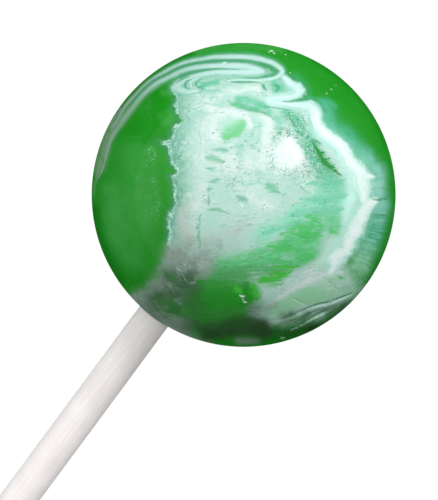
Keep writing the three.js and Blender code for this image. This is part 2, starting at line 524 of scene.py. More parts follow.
# %% Thin lines of green between the folds
draw_strokes(
    "thread",
    ((0.03, 0.08, 0.1, 0.08, 0.03),
     [(-5.8, 12.6), (-6.3, 12.4), (-6.5, 12.05), (-6.4, 11.7), (-5.9, 11.45)]),
    ((0.03, 0.08, 0.03), [(-4.8, 12.5), (-5.25, 12.2), (-5.3, 11.95), (-4.9, 11.65)]),
    ((0.02, 0.06, 0.07, 0.05), [(-7.6, 12.1), (-7.35, 12.3), (-6.8, 12.65), (-6.0, 12.95)]),
    ((0.14, 0.16, 0.18, 0.16, 0.17, 0.2, 0.2, 0.2, 0.24, 0.24, 0.09, 0.03),
     [(-12.5, 10.0), (-11.6, 11.15), (-10.5, 12.2), (-9.75, 12.75), (-8.4, 13.35), (-7.1, 14.05),
      (-5.75, 14.4), (-4.4, 14.6), (-3.1, 14.7), (-0.4, 14.68), (0.9, 14.55), (2.2, 14.2), (3.2, 13.75),
      (3.4, 13.3), (2.6, 12.95), (1.2, 12.75), (-0.4, 12.72)]),
    ((0.3, 0.2, 0.14, 0.1, 0.06, 0.04),
     [(-6.9, 13.0), (-5.75, 13.38), (-4.4, 13.67), (-3.1, 13.77), (-1.8, 13.75), (-0.4, 13.66)]),
    ((0.03, 0.12, 0.08, 0.04), [(-1.6, 12.3), (-0.5, 12.24), (0.9, 12.27), (1.9, 12.1)]),
    ((0.06, 0.12, 0.06), [(2.0, 12.05), (2.2, 11.65), (2.5, 11.35)]),
    ((0.06, 0.12, 0.06), [(3.4, 12.0), (3.8, 11.65), (3.5, 11.2)]),
    ((0.06, 0.1, 0.14, 0.06), [(4.2, 10.1), (4.9, 10.08), (5.8, 10.25), (6.5, 10.3), (7.2, 10.35)]),
    ((0.03, 0.06, 0.07, 0.04), [(1.2, 9.75), (2.2, 9.55), (3.6, 9.35), (5.2, 9.1)]),
    ((0.04, 0.08, 0.09, 0.05), [(-0.6, 9.5), (0.5, 9.15), (1.9, 8.9), (2.7, 8.5)]),
    ((0.03, 0.07, 0.03), [(6.3, 8.6), (6.6, 7.9), (7.1, 7.3)]),
    ((0.04, 0.09, 0.05), [(4.9, 8.6), (5.2, 7.9), (5.8, 7.3)]),
    ((0.05, 0.12, 0.05), [(7.3, 5.9), (7.9, 5.7), (8.5, 5.4)]),
    ((0.02, 0.06, 0.02), [(5.5, 1.1), (6.1, 0.75), (6.7, 0.2), (7.4, 0.0)]),
    ((0.03, 0.07, 0.03), [(-0.1, 5.85), (0.2, 5.65), (0.4, 5.7)]),
    ((0.02, 0.05, 0.02), [(0.7, 6.6), (0.95, 6.4), (1.0, 6.1)]),
    ((0.02, 0.06, 0.02), [(-1.05, 2.6), (-0.8, 2.8), (-0.6, 3.0)]),
    ((0.02, 0.05, 0.02), [(1.0, 1.9), (1.4, 2.05), (1.8, 2.4)]),
    ((0.02, 0.05, 0.03, 0.05, 0.02), [(-2.0, 0.85), (-1.6, 0.95), (-1.2, 1.4), (-0.9, 1.7)]),
    ((0.02, 0.06, 0.02), [(-0.9, -3.2), (-0.5, -3.0), (-0.1, -3.0)]),
    ((0.06, 0.13, 0.06), [(13.9, -0.5), (14.8, -0.62), (15.8, -0.45), (16.5, -0.2)]),
    ((0.06, 0.1, 0.06), [(14.0, -2.2), (15.0, -2.3), (16.2, -2.25)]),
    ((0.02, 0.06, 0.03), [(14.2, 0.6), (15.2, 0.65), (16.0, 0.8)]),
    ((0.03, 0.08, 0.03), [(6.4, -12.75), (8.0, -12.15), (9.5, -11.85)]),
    ((0.03, 0.08, 0.04), [(9.8, -11.7), (10.8, -11.35), (12.0, -10.9)]),
    ((0.04, 0.1, 0.05), [(7.0, -13.8), (8.2, -13.15), (9.4, -12.65)]),
    ((0.02, 0.04, 0.02), [(4.8, -11.0), (5.4, -11.35), (6.3, -11.8), (7.0, -12.2)]),
    ((0.02, 0.04, 0.02), [(8.7, -9.1), (9.5, -9.7), (10.4, -10.5)]),
)

# %% [markdown]
# ## Patches of green
# Small leaves, larger patches and one soft oval show through the milky sugar. They are strokes too, drawn a
# little too wide, and noise tears their edges later.

# %% Small leaves of muted green
draw_strokes(
    "leaf",
    ((0.1, 0.3, 0.32, 0.3, 0.2, 0.05),
     [(-1.8, 10.2), (-1.2, 9.85), (0.3, 9.35), (1.6, 9.0), (2.7, 8.6), (3.4, 7.9)]),
    ((0.05, 0.2, 0.22, 0.06), [(-3.6, 4.8), (-2.8, 4.8), (-2.2, 4.7), (-1.6, 4.65)]),
    ((0.1, 0.3, 0.28, 0.12, 0.04), [(-4.2, 3.9), (-3.6, 3.85), (-2.9, 3.65), (-2.4, 3.5), (-2.0, 3.55)]),
    ((0.05, 0.14, 0.05), [(-4.3, 2.75), (-3.7, 2.75), (-3.0, 2.8)]),
    ((0.05, 0.18, 0.22, 0.05), [(-3.9, 1.25), (-3.4, 1.3), (-3.0, 1.45), (-2.6, 1.6)]),
    ((0.05, 0.2, 0.05), [(-4.1, 0.4), (-3.8, 0.5), (-3.4, 0.45)]),
    ((0.25, 0.42, 0.25, 0.02), [(2.6, 0.9), (2.95, 0.65), (3.4, 0.3), (4.1, -0.1)]),
    ((0.1, 0.4, 0.25), [(-0.9, -0.2), (-0.4, -0.5), (0.2, -0.8)]),
    ((0.03, 0.12, 0.14, 0.03), [(-3.9, 0.0), (-3.85, -0.5), (-3.85, -1.0), (-3.9, -1.4)]),
    ((0.03, 0.14, 0.2, 0.08, 0.03),
     [(-4.2, -1.8), (-3.6, -1.75), (-2.9, -1.8), (-2.2, -2.0), (-1.5, -2.4)]),
    ((0.04, 0.1, 0.08, 0.16, 0.12, 0.18, 0.14, 0.04),
     [(-4.7, -2.2), (-4.9, -2.8), (-4.8, -3.2), (-5.1, -3.7), (-4.9, -4.2), (-5.0, -4.8), (-4.8, -5.4),
      (-4.9, -6.0)]),
)

# %% The oval
draw_strokes(
    "oval",
    ((0.95, 1.4, 1.6, 1.5, 1.1), [(-1.95, 6.5), (-1.7, 6.8), (-1.35, 7.15), (-0.95, 7.5), (-0.6, 7.75)]),
)

# %% Patches of fresh green
draw_strokes(
    "patch",
    ((0.04, 0.1, 0.08, 0.04), [(-1.8, 10.1), (-1.3, 9.8), (-0.7, 9.5), (0.1, 9.3)]),
    ((0.1, 0.5, 0.8, 0.7, 0.2), [(3.8, -4.4), (4.8, -4.3), (5.8, -4.1), (7.0, -4.3), (8.2, -4.5)]),
    ((0.1, 0.4, 0.5, 0.3), [(2.4, -5.7), (3.4, -5.9), (4.6, -5.9), (6.0, -6.2)]),
    ((0.2, 0.5, 0.45, 0.1), [(4.8, -6.4), (5.8, -6.6), (6.8, -6.9), (7.8, -7.2)]),
    ((0.1, 0.25, 0.1), [(6.4, -2.4), (7.2, -2.6), (8.0, -2.8)]),
    ((0.1, 0.35, 0.1), [(9.2, -4.1), (9.6, -4.15), (10.1, -4.2)]),
    ((0.1, 0.2, 0.1), [(10.2, -9.0), (10.6, -9.15), (11.0, -9.3)]),
    ((0.1, 0.25, 0.1), [(2.6, -7.2), (4.0, -7.3), (5.2, -7.4)]),
)

# %% Wedges of mint that reach in from the right
draw_strokes(
    "wedge",
    ((0.04, 0.35, 0.55, 0.5, 0.1), [(6.4, 0.95), (7.6, 1.1), (8.8, 1.05), (10.0, 1.3), (11.2, 1.5)]),
    ((0.04, 0.4, 0.6, 0.5, 0.1), [(5.9, -0.6), (7.4, -0.7), (8.8, -0.7), (10.2, -0.4), (11.4, -0.1)]),
    ((0.04, 0.4, 0.6, 0.5, 0.1), [(4.6, -2.5), (6.4, -2.1), (8.2, -2.0), (9.8, -1.8), (11.0, -1.6)]),
    ((0.04, 0.3, 0.45, 0.3, 0.1), [(1.6, -4.6), (3.2, -4.0), (4.8, -3.6), (6.4, -3.2), (8.0, -3.0)]),
)

# %% Slits and patches where the clear green ground shows
draw_strokes(
    "clear",
    ((0.04, 0.1, 0.18, 0.24, 0.26, 0.22, 0.12, 0.03),
     [(7.4, 5.7), (7.8, 5.1), (8.15, 4.5), (8.5, 3.9), (9.0, 3.3), (9.5, 2.8), (10.1, 2.35), (10.7, 1.9)]),
    ((0.16, 0.02), [(8.3, 4.4), (8.9, 4.6)]),
    ((0.16, 0.02), [(8.8, 3.7), (9.4, 3.9)]),
    ((0.16, 0.02), [(9.4, 3.0), (10.0, 3.2)]),
    ((0.2, 0.42, 0.4, 0.25, 0.06), [(1.7, -9.6), (2.6, -9.4), (3.6, -9.1), (4.4, -8.8), (5.3, -8.4)]),
    ((0.03, 0.12, 0.03), [(3.2, -7.9), (4.6, -8.05), (6.2, -7.9)]),
    ((0.15, 0.3, 0.3, 0.1), [(1.0, -10.0), (1.2, -10.6), (1.3, -11.0), (1.3, -11.4)]),
    ((0.1, 0.25, 0.1), [(-0.9, -10.1), (-0.7, -10.5), (-0.3, -10.8)]),
)

# %% [markdown]
# ## Frost and glints
# The lips of the creases are pale, partly scuffed white and partly painted highlight, and a few painted
# glints stand for chips in the hard skin that shine. Real chips would need a far finer mesh, and at this
# size a white stroke looks the same.

# %% Frosted lines along the creases, partly painted highlights, and scuffs
draw_strokes(
    "frost_and_highlight",
    ((0.03, 0.05, 0.08, 0.11, 0.13, 0.05),
     [(4.0, -13.95), (5.2, -13.6), (6.4, -13.05), (7.4, -12.6), (8.4, -12.3), (9.2, -12.2), (9.65, -12.1)]),
    ((0.06, 0.12, 0.18, 0.14, 0.06),
     [(9.9, -12.0), (10.6, -11.65), (11.2, -11.45), (11.8, -11.25), (12.2, -11.0)]),
    ((0.08, 0.12, 0.14, 0.2, 0.08),
     [(5.2, -15.05), (6.4, -14.45), (7.5, -13.85), (8.6, -13.3), (9.1, -13.1)]),
    ((0.05, 0.1, 0.05), [(5.2, -11.5), (6.2, -12.05), (7.2, -12.55)]),
    ((0.04, 0.09, 0.04), [(8.9, -9.5), (9.6, -10.1), (10.4, -10.8)]),
    ((0.1, 0.2, 0.1), [(4.1, -15.9), (4.5, -15.95)]),
    ((0.03, 0.08, 0.1, 0.08, 0.1, 0.06, 0.03),
     [(6.2, 2.9), (7.0, 2.2), (7.6, 1.65), (6.9, 1.3), (6.3, 0.95), (7.0, 0.5), (7.6, 0.1), (6.9, -0.3),
      (6.0, -1.0)]),
    ((0.02, 0.07, 0.08, 0.07, 0.02),
     [(-6.7, -8.8), (-6.4, -9.5), (-5.9, -9.8), (-5.4, -9.7), (-5.1, -9.3)]),
)

# %% Glints, painted highlights
draw_strokes(
    "glint",
    ((0.05, 0.12, 0.05), [(-0.5, -11.1), (-0.2, -11.25), (0.2, -11.2)]),
    ((0.05, 0.12, 0.05), [(-0.2, -11.5), (0.0, -11.8), (0.3, -11.9)]),
    ((0.03, 0.1, 0.1, 0.03), [(-0.6, -0.95), (-0.4, -1.15), (-0.25, -1.3), (-0.1, -1.5)]),
    ((0.04, 0.1, 0.04), [(2.75, 15.75), (3.0, 15.95), (3.25, 15.85)]),
    ((0.08, 0.12, 0.08), [(3.35, 15.65), (3.4, 15.6)]),
    ((0.06, 0.09, 0.06), [(4.1, 15.7), (4.15, 15.7)]),
    ((0.07, 0.1, 0.07), [(4.65, 15.55), (4.7, 15.5)]),
    ((0.07, 0.1, 0.07), [(5.05, 13.4), (5.15, 13.35)]),
    ((0.06, 0.09, 0.06), [(9.6, 11.6), (9.7, 11.5)]),
    ((0.06, 0.09, 0.06), [(9.1, 11.1), (9.15, 11.05)]),
    ((0.05, 0.08, 0.05), [(10.2, 12.1), (10.3, 12.0)]),
    ((0.05, 0.1, 0.05), [(-2.4, 14.5), (-1.9, 14.55)]),
)

# %% [markdown]
# ## Washes on the green
# The bare green isn't even: it is deeper in some places and lighter in others. Part of the lighter green is
# painted light: a painted reflection down the left limb and painted light along the top rim. The dark green
# where it turns away at the limb is painted shade. A thin pale film lies over it down the left, and a teal
# veil outside the ribbons.

# %% Deep green
draw_wash(
    "deep",
    (0.9, 2.0, [(-12.2, 8.0), (-11.8, 7.4)]),
    (0.9, 1.6, [(-9.0, 6.6), (-9.2, 9.6), (-9.6, 11.0)]),
    (0.7, 1.5, [(-12.6, -8.0), (-11.6, -9.6)]),
    (0.4, 1.8, [(6.5, 13.6), (9.5, 11.8), (11.8, 9.8), (13.4, 8.0)]),
    (0.3, 1.3, [(-3.5, -12.4), (-1.5, -12.2)]),
    (0.6, 0.7, [(-9.1, 3.0), (-8.7, -1.0), (-9.1, -4.6)]),
)

# %% Light green, partly painted reflection down the left limb and painted light along the top rim
draw_wash(
    "light",
    # The first two strokes are painted light: a reflection down the left limb and light along the top rim.
    (0.6, 1.5, [(-14.7, 0.5), (-14.5, -3.0), (-13.5, -5.6), (-12.2, -7.6)]),
    (0.6, 0.8, [(-5.0, 16.0), (0.0, 16.5), (4.0, 16.2)]),
    (0.5, 2.2, [(-12.2, 4.0), (-12.2, -4.0)]),
    (0.55, 1.3, [(-3.8, -9.9), (-1.0, -10.2)]),
    (0.5, 0.9, [(-9.0, 8.4), (-8.4, 7.9), (-8.2, 8.8)]),
    (0.5, 0.6, [(-8.9, 11.2), (-8.0, 11.0)]),
    (0.4, 0.09, [(-11.4, 9.7), (-10.5, 8.9), (-10.2, 8.0), (-10.5, 7.0), (-11.2, 6.4), (-12.4, 6.2)]),
)

# %% Painted shade: dark green along the limb
draw_wash(
    "limb",
    (0.7, 0.6, [(-16.6, -1.6), (-16.2, -4.4), (-15.1, -7.0), (-13.6, -9.6)]),
    (0.6, 0.5, [(-14.6, 8.9), (-12.0, 12.1), (-8.8, 14.6), (-6.0, 15.9)]),
    (0.6, 0.5, [(8.0, 15.1), (11.6, 12.4), (14.2, 9.4), (16.0, 5.6)]),
    (0.2, 0.5, [(16.6, 3.0), (16.8, 0.0), (16.4, -3.8), (15.4, -6.8), (13.8, -9.6)]),
)

# %% Pale sugar that thins out down the left limb
draw_wash(
    "haze",
    (0.6, 0.8, [(-13.9, 8.8), (-14.9, 6.8), (-15.6, 4.6), (-16.0, 3.0)]),
    (0.35, 0.3, [(-16.0, 3.4), (-16.5, 1.4), (-16.7, 0.0)]),
    (0.5, 0.3, [(-13.6, 9.4), (-11.4, 11.7), (-9.0, 13.4)]),
)

# %% Scuffs
draw_wash(
    "scuff",
    (1.0, 0.7, [(-10.2, 4.8), (-10.0, 4.0), (-10.2, 3.6)]),
    (0.6, 1.0, [(-11.6, 5.0), (-11.2, 2.0), (-10.2, -2.0), (-9.6, -4.0)]),
    (0.7, 0.7, [(-10.0, 1.6), (-9.4, -0.8), (-9.6, -2.2)]),
    (0.6, 0.5, [(-11.0, 11.0), (-10.4, 9.8)]),
)

# %% The teal veil outside the ribbons
draw_wash(
    "veil",
    (0.4, 0.7, [(5.7, 12.9), (6.4, 12.2), (6.8, 11.5), (6.7, 10.9)]),
    (0.45, 0.35, [(7.0, 10.5), (8.4, 10.3), (9.4, 10.1), (10.0, 9.7)]),
    (0.7, 0.9, [(8.9, 9.6), (9.3, 8.5), (9.6, 7.5), (10.6, 6.8)]),
    (0.2, 1.2, [(9.8, 8.6), (10.8, 7.4), (12.0, 6.2)]),
    (0.75, 1.1, [(11.4, 6.0), (12.4, 5.0), (13.2, 4.0)]),
    (0.6, 1.2, [(13.4, 4.0), (14.0, 3.2), (14.6, 2.6)]),
    (0.95, 1.1, [(14.5, 2.2), (14.8, 0.8), (14.8, -1.0)]),
    (0.95, 1.2, [(15.0, -1.6), (14.7, -3.2), (14.3, -4.8), (13.6, -6.2), (12.9, -7.6)]),
    (0.8, 1.2, [(12.6, -8.2), (12.0, -9.6)]),
)

# %% Where the veil is raked outwards
draw_wash(
    "raked",
    (0.15, 1.2, [(14.0, 5.0), (14.6, 3.0)]),
    (0.3, 1.4, [(15.2, 2.0), (15.2, -3.0)]),
    (0.75, 1.8, [(14.4, -5.0), (13.6, -6.6), (12.0, -9.0)]),
)

# %% [markdown]
# ## Washes in the milky sugar
# Inside its outline the milky sugar is white where it is thick and mint where it is thin. Teal, sage and
# fine veins run through it, froth surrounds the glare with white specks that are partly painted sparkle, and
# only part of its edge is crisp.

# %% Thick white
draw_wash(
    "milk",
    (1.0, 0.65, [(1.9, 8.6), (2.6, 8.0), (2.6, 6.9), (2.4, 5.8), (2.6, 4.8)]),
    (0.9, 0.4, [(-1.0, 8.5), (0.2, 8.3), (0.6, 7.4)]),
    (0.35, 1.0, [(7.2, -8.6), (9.2, -6.8), (10.6, -4.8)]),
    (0.5, 0.8, [(9.4, -10.4), (11.4, -9.6)]),
    (0.6, 0.35,
     [(2.6, -12.3), (3.9, -11.4), (5.0, -10.8), (6.0, -10.0), (7.3, -9.5), (8.3, -9.1), (9.1, -8.7)]),
    (0.9, 1.3, [(4.6, 5.6), (5.6, 4.6), (6.0, 3.4)]),
    (0.75, 0.4, [(-3.8, 9.4), (-2.6, 8.95), (-1.2, 8.9), (0.2, 8.6)]),
    (0.7, 0.6, [(-2.4, 8.6), (-3.2, 8.0), (-3.4, 6.8), (-3.0, 5.9)]),
    (0.5, 0.9, [(-3.8, 9.0), (-4.4, 6.2), (-4.6, 4.0)]),
    (0.8, 0.35, [(-1.6, 11.3), (-0.6, 11.2), (0.6, 11.6), (1.4, 11.6), (1.6, 11.2)]),
    (0.9, 0.35, [(2.7, 10.3), (4.0, 10.1)]),
    (0.45, 0.5, [(-4.4, 10.6), (-3.4, 10.0), (-2.4, 10.8), (-1.8, 11.2)]),
    (0.3, 1.2, [(-5.0, 2.6), (-5.0, -0.6)]),
    (0.6, 1.2, [(-2.0, 3.2), (1.0, 3.6), (3.4, 2.8)]),
    (0.6, 0.9, [(0.6, -0.4), (1.6, -0.8), (3.0, -1.4)]),
    (0.3, 0.7, [(-6.2, -0.8), (-5.4, -1.4)]),
    (0.7, 1.0, [(7.6, 8.8), (8.2, 7.4), (9.4, 5.8), (10.8, 4.2), (11.4, 3.4)]),
    (0.6, 0.6, [(10.6, -8.6), (9.4, -8.8)]),
)

# %% Where veins show
draw_wash(
    "veins",
    (1.0, 1.3, [(-4.6, 11.0), (-5.0, 9.6), (-3.4, 8.8)]),
    (1.0, 1.4, [(-4.6, 11.6), (-3.0, 12.2), (0.0, 13.0), (3.0, 12.4), (5.0, 11.6)]),
    (1.0, 1.2, [(3.6, 7.6), (5.4, 8.6), (7.0, 8.0)]),
    (0.7, 1.4, [(-6.6, 6.0), (-6.4, 2.0), (-6.8, -1.0)]),
    (0.6, 1.4, [(0.0, 5.4), (2.6, 4.0), (1.4, 1.4)]),
    (0.8, 1.2, [(-8.8, 10.6), (-8.4, 7.6)]),
    (0.8, 1.0, [(-13.6, 9.2), (-15.2, 5.4)]),
)

# %% Teal smears
draw_wash(
    "teal",
    (0.95, 0.55, [(3.3, 12.0), (3.8, 11.6), (3.5, 11.2)]),
    (0.6, 0.5, [(4.3, 11.6), (4.6, 11.2)]),
    (0.7, 0.3, [(2.1, 11.8), (2.2, 11.5)]),
    (0.9, 0.35, [(-4.5, 11.9), (-3.8, 12.15), (-2.9, 12.2)]),
    (0.75, 0.2, [(-5.8, 12.65), (-6.25, 12.45), (-6.5, 12.05), (-6.45, 11.6), (-6.0, 11.25)]),
    (0.75, 0.2, [(-4.8, 12.6), (-5.2, 12.3), (-5.3, 12.0), (-4.95, 11.65), (-4.4, 11.5)]),
    (0.45, 0.3, [(3.2, 13.6), (2.4, 13.0), (0.9, 12.75), (-1.8, 12.8), (-3.1, 12.65)]),
    (0.5, 0.4, [(7.2, 10.45), (8.6, 10.3)]),
    (0.6, 0.35, [(2.9, 8.9), (3.6, 8.2), (3.8, 7.2), (3.8, 6.6)]),
    (0.9, 0.8, [(4.6, 8.8), (5.5, 8.2), (6.0, 7.2), (6.7, 6.2), (7.3, 5.4)]),
    (0.95, 1.1, [(7.4, 5.0), (7.8, 3.8), (8.4, 2.6), (9.2, 1.4), (9.8, 0.4)]),
    (0.8, 1.2, [(1.5, -4.9), (3.5, -3.8), (5.5, -2.6)]),
    (0.8, 1.5, [(6.8, -1.8), (8.6, -0.6), (9.8, 0.6)]),
    (0.8, 1.2, [(9.8, -1.4), (9.8, -2.6)]),
    (0.4, 1.0, [(-3.5, -3.2), (-4.2, -3.2)]),
    (0.5, 0.7, [(-0.4, 5.0), (-0.4, 3.8)]),
    (0.85, 0.6, [(-0.6, 10.3), (0.4, 10.3), (1.4, 9.9), (2.4, 9.4)]),
    (0.7, 0.35, [(-0.8, 9.7), (0.4, 9.45), (1.4, 9.2)]),
    (0.5, 0.13, [(-2.6, 11.3), (-3.8, 11.3), (-4.5, 10.7), (-4.2, 10.0), (-3.2, 9.6)]),
    (0.5, 0.13, [(-3.2, 10.9), (-3.7, 10.4), (-3.3, 9.9), (-2.4, 9.5)]),
    (0.45, 0.13, [(-2.9, 10.6), (-2.9, 10.1), (-2.3, 9.8), (-1.6, 9.3)]),
    (0.5, 0.13, [(-5.6, 9.3), (-4.4, 8.8), (-3.2, 8.8), (-2.2, 8.9)]),
    (0.45, 0.13, [(-4.6, 8.2), (-4.9, 6.8), (-4.7, 5.4), (-5.0, 3.8)]),
    (0.45, 0.13, [(0.2, 8.7), (0.9, 8.2), (1.1, 7.2), (0.6, 6.2), (0.0, 5.9)]),
    (0.5, 0.15, [(-2.9, 5.7), (-2.1, 5.5), (-1.2, 5.75)]),
    (0.45, 0.13, [(3.6, 5.3), (3.2, 4.4), (2.4, 4.0)]),
    (0.4, 0.3, [(1.6, 7.6), (1.7, 6.6), (1.5, 5.8)]),
)

# %% Sage
draw_wash(
    "sage",
    (0.9, 1.3, [(3.4, -12.6), (5.6, -11.6), (8.4, -11.0), (11.2, -9.8)]),
    (0.6, 1.2, [(9.8, -9.0), (12.2, -9.4), (12.6, -11.0)]),
    (0.85, 1.1, [(8.6, -7.6), (10.2, -5.8), (11.0, -3.4), (11.5, -1.4), (11.9, 0.4), (11.9, 1.8)]),
)

# %% Froth round the glare, its white specks partly painted sparkle
draw_wash(
    "froth_and_sparkle",
    (0.95, 0.8, [(4.8, 9.0), (5.4, 8.2), (5.8, 7.4), (6.4, 6.6)]),
    (0.8, 0.6, [(3.4, 6.5), (4.2, 6.7), (5.2, 6.6)]),
    (0.95, 0.9, [(6.4, 6.4), (7.2, 5.2), (7.8, 4.2), (8.2, 3.2)]),
    (0.8, 0.8, [(7.4, 3.6), (6.6, 2.6), (8.2, 2.4)]),
    (0.6, 0.6, [(4.4, 6.8), (3.2, 5.8), (2.9, 4.6), (3.0, 3.4)]),
    (0.6, 0.6, [(3.2, 2.9), (4.4, 2.5), (5.6, 2.4), (6.8, 2.6)]),
    (0.9, 0.5, [(6.5, 5.6), (7.0, 4.6), (7.0, 3.6)]),
    (0.3, 1.6, [(4.0, 2.0), (6.0, 1.6)]),
    (0.5, 0.7, [(-2.4, 3.0), (-1.6, 2.0), (-1.4, 0.9)]),
    (0.45, 0.5, [(-0.8, 3.4), (0.0, 2.6), (1.4, 2.0)]),
    (0.3, 0.6, [(0.4, 6.2), (0.8, 5.4)]),
)

# %% Where the edge is crisp
draw_wash(
    "crisp",
    (1.0, 2.0, [(-8.0, 13.4), (-8.0, 9.0), (-8.2, 3.0), (-8.0, -1.0), (-8.6, -4.6)]),
    (1.0, 1.6,
     [(-6.0, 14.0), (-2.0, 15.2), (2.0, 15.0), (4.6, 13.6), (7.2, 11.8), (9.4, 9.0), (12.0, 6.6)]),
    (0.6, 1.0, [(12.4, 6.0), (14.6, 2.2)]),
)

# %% [markdown]
# ## Washes across the bottom
# Lower down the colours were dragged into each other. Lime is brushed across the middle, and grey curds,
# dusk and moss darken towards the underside. The darkest green there is painted shade, and some of the grey
# is a painted sheen.

# %% Lime brushed across the middle
draw_wash(
    "lime",
    (0.95, 1.5, [(-2.4, -7.9), (0.2, -7.5), (2.5, -6.8), (5.0, -5.6), (7.4, -4.4)]),
    (0.7, 1.3, [(8.0, -3.2), (9.6, -2.8), (10.2, -3.8)]),
    (0.8, 1.1, [(3.0, -8.2), (5.6, -7.6), (7.6, -6.4)]),
    (0.6, 1.1, [(-3.6, -8.8), (-1.6, -9.2), (1.0, -9.0)]),
    (0.5, 0.8, [(12.2, -8.6), (12.8, -10.0)]),
)

# %% Grey curds, and grey that is partly a painted sheen along the underside and the crease lips
draw_wash(
    "grey",
    (0.7, 1.1, [(-6.6, -2.2), (-6.5, -3.8), (-6.2, -5.4)]),
    (0.5, 1.4, [(-4.0, -5.0), (-2.0, -4.6), (-0.2, -3.6)]),
    (0.35, 1.0, [(-4.6, -6.4), (-2.4, -6.6), (-0.8, -6.0)]),
    (0.9, 1.3, [(-7.8, -6.6), (-7.0, -7.8), (-5.4, -7.6), (-4.4, -7.8)]),
    (0.4, 0.6, [(-5.2, -8.6), (-4.4, -8.6)]),
    (1.0, 1.8, [(-7.4, -8.4), (-8.6, -10.0), (-9.8, -11.6), (-11.2, -12.2)]),
    (0.95, 1.6, [(-7.2, -14.4), (-9.4, -13.4)]),
    (0.5, 1.0, [(3.4, -12.2), (2.2, -12.4), (1.0, -12.6)]),
    # painted sheen along the crease lips
    (0.3, 0.6, [(3.4, -14.1), (6.0, -13.5), (8.4, -12.9), (10.6, -12.1)]),
    (0.35, 0.7, [(-5.4, 3.2), (-5.2, 1.0), (-5.6, -0.8)]),
    # painted sheen along the underside
    (0.7, 0.6, [(-0.6, -16.2), (1.4, -16.2)]),
    (0.5, 0.9, [(-6.8, -15.6), (-4.0, -16.4)]),
)

# %% Dusk
draw_wash(
    "dusk",
    (0.55, 1.2, [(-6.0, -9.0), (-7.2, -9.1), (-8.4, -8.8)]),
    (0.9, 1.9, [(-7.0, -10.6), (-9.2, -11.6)]),
    (0.5, 0.8, [(-6.4, -14.6), (-5.0, -15.0), (-3.6, -15.4)]),
    (0.3, 1.0, [(-11.4, -12.4), (-9.6, -13.8), (-7.4, -14.8)]),
    (0.45, 1.8, [(-5.6, -9.8), (-6.4, -10.8)]),
    (0.5, 0.9, [(0.6, -12.8), (2.4, -12.8)]),
    (0.4, 0.5, [(-5.4, -12.8), (-3.4, -13.2), (-1.0, -13.0)]),
    (0.4, 0.4, [(-6.6, -13.8), (-4.0, -14.3), (-2.0, -14.0)]),
)

# %% Moss
draw_wash(
    "moss",
    (0.6, 1.1, [(-9.4, -12.2), (-8.0, -12.8)]),
    (0.7, 1.4, [(-7.4, -12.8), (-6.0, -12.6), (-5.2, -11.8)]),
    (0.6, 0.6, [(-8.6, -8.8), (-7.8, -9.2)]),
    (0.65, 1.1, [(4.8, -13.6), (6.8, -13.8)]),
    (0.6, 0.7, [(9.4, -13.2), (11.6, -12.0)]),
)

# %% Painted shade at the underside
draw_wash(
    "shade",
    # painted shade where the ball turns under towards the table
    (0.4, 1.2, [(-6.0, -14.6), (-4.0, -14.4)]),
    (0.75, 1.1, [(-4.0, -15.6), (-1.0, -15.1), (2.0, -15.2)]),
    (0.6, 1.0, [(2.0, -15.2), (5.0, -15.4), (7.4, -14.8)]),
    (0.7, 0.9, [(-1.8, -14.4), (0.4, -13.9), (2.0, -14.2)]),
    (0.5, 0.6, [(7.6, -15.0), (10.0, -13.6), (12.0, -12.0)]),
    # painted shade below the lips of the creases
    (0.45, 0.6, [(4.4, -13.6), (6.2, -13.1), (8.0, -12.7), (9.6, -12.4)]),
)

# %% [markdown]
# ## Shader sums
# A material is a graph of nodes, and long sums are hard to read there. A Wire stands for one output in the
# graph. Adding or multiplying wires adds the Math nodes that do it, so a mask reads like a formula. A
# Recipe owns the graph and adds any other node.

# %% Wires
class Wire:
    """One output of a node, which takes part in sums."""

    def __init__(self, recipe, socket):
        self.recipe = recipe
        self.socket = socket

    def math(self, operation, *others):
        inputs = dict(enumerate([self, *others]))
        return self.recipe.node("ShaderNodeMath", {"operation": operation}, inputs)

    def __add__(self, other):
        return self.math("ADD", other)

    def __mul__(self, other):
        return self.math("MULTIPLY", other)

    def __sub__(self, other):
        return self.math("SUBTRACT", other)

    def __rsub__(self, other):
        return self.recipe.node("ShaderNodeMath", {"operation": "SUBTRACT"}, {0: other, 1: self})

    def __truediv__(self, other):
        return self.math("DIVIDE", other)

    __radd__ = __add__
    __rmul__ = __mul__

    def step(self, low, high):
        """0 below low and 1 above high, with a smooth rise between. If high is the less, it falls."""
        settings = {"interpolation_type": "SMOOTHSTEP"}
        return self.recipe.node("ShaderNodeMapRange", settings, {0: self, 1: low, 2: high})

    def line(self, half_width):
        """1 where the value passes through 0, and 0 from so far off it on."""
        return self.math("ABSOLUTE").step(half_width, 0)


# %% Recipes
NOISE_GAIN = 6.5  # noise nodes stay close to 0.5, and this spreads them over about -1 to 1


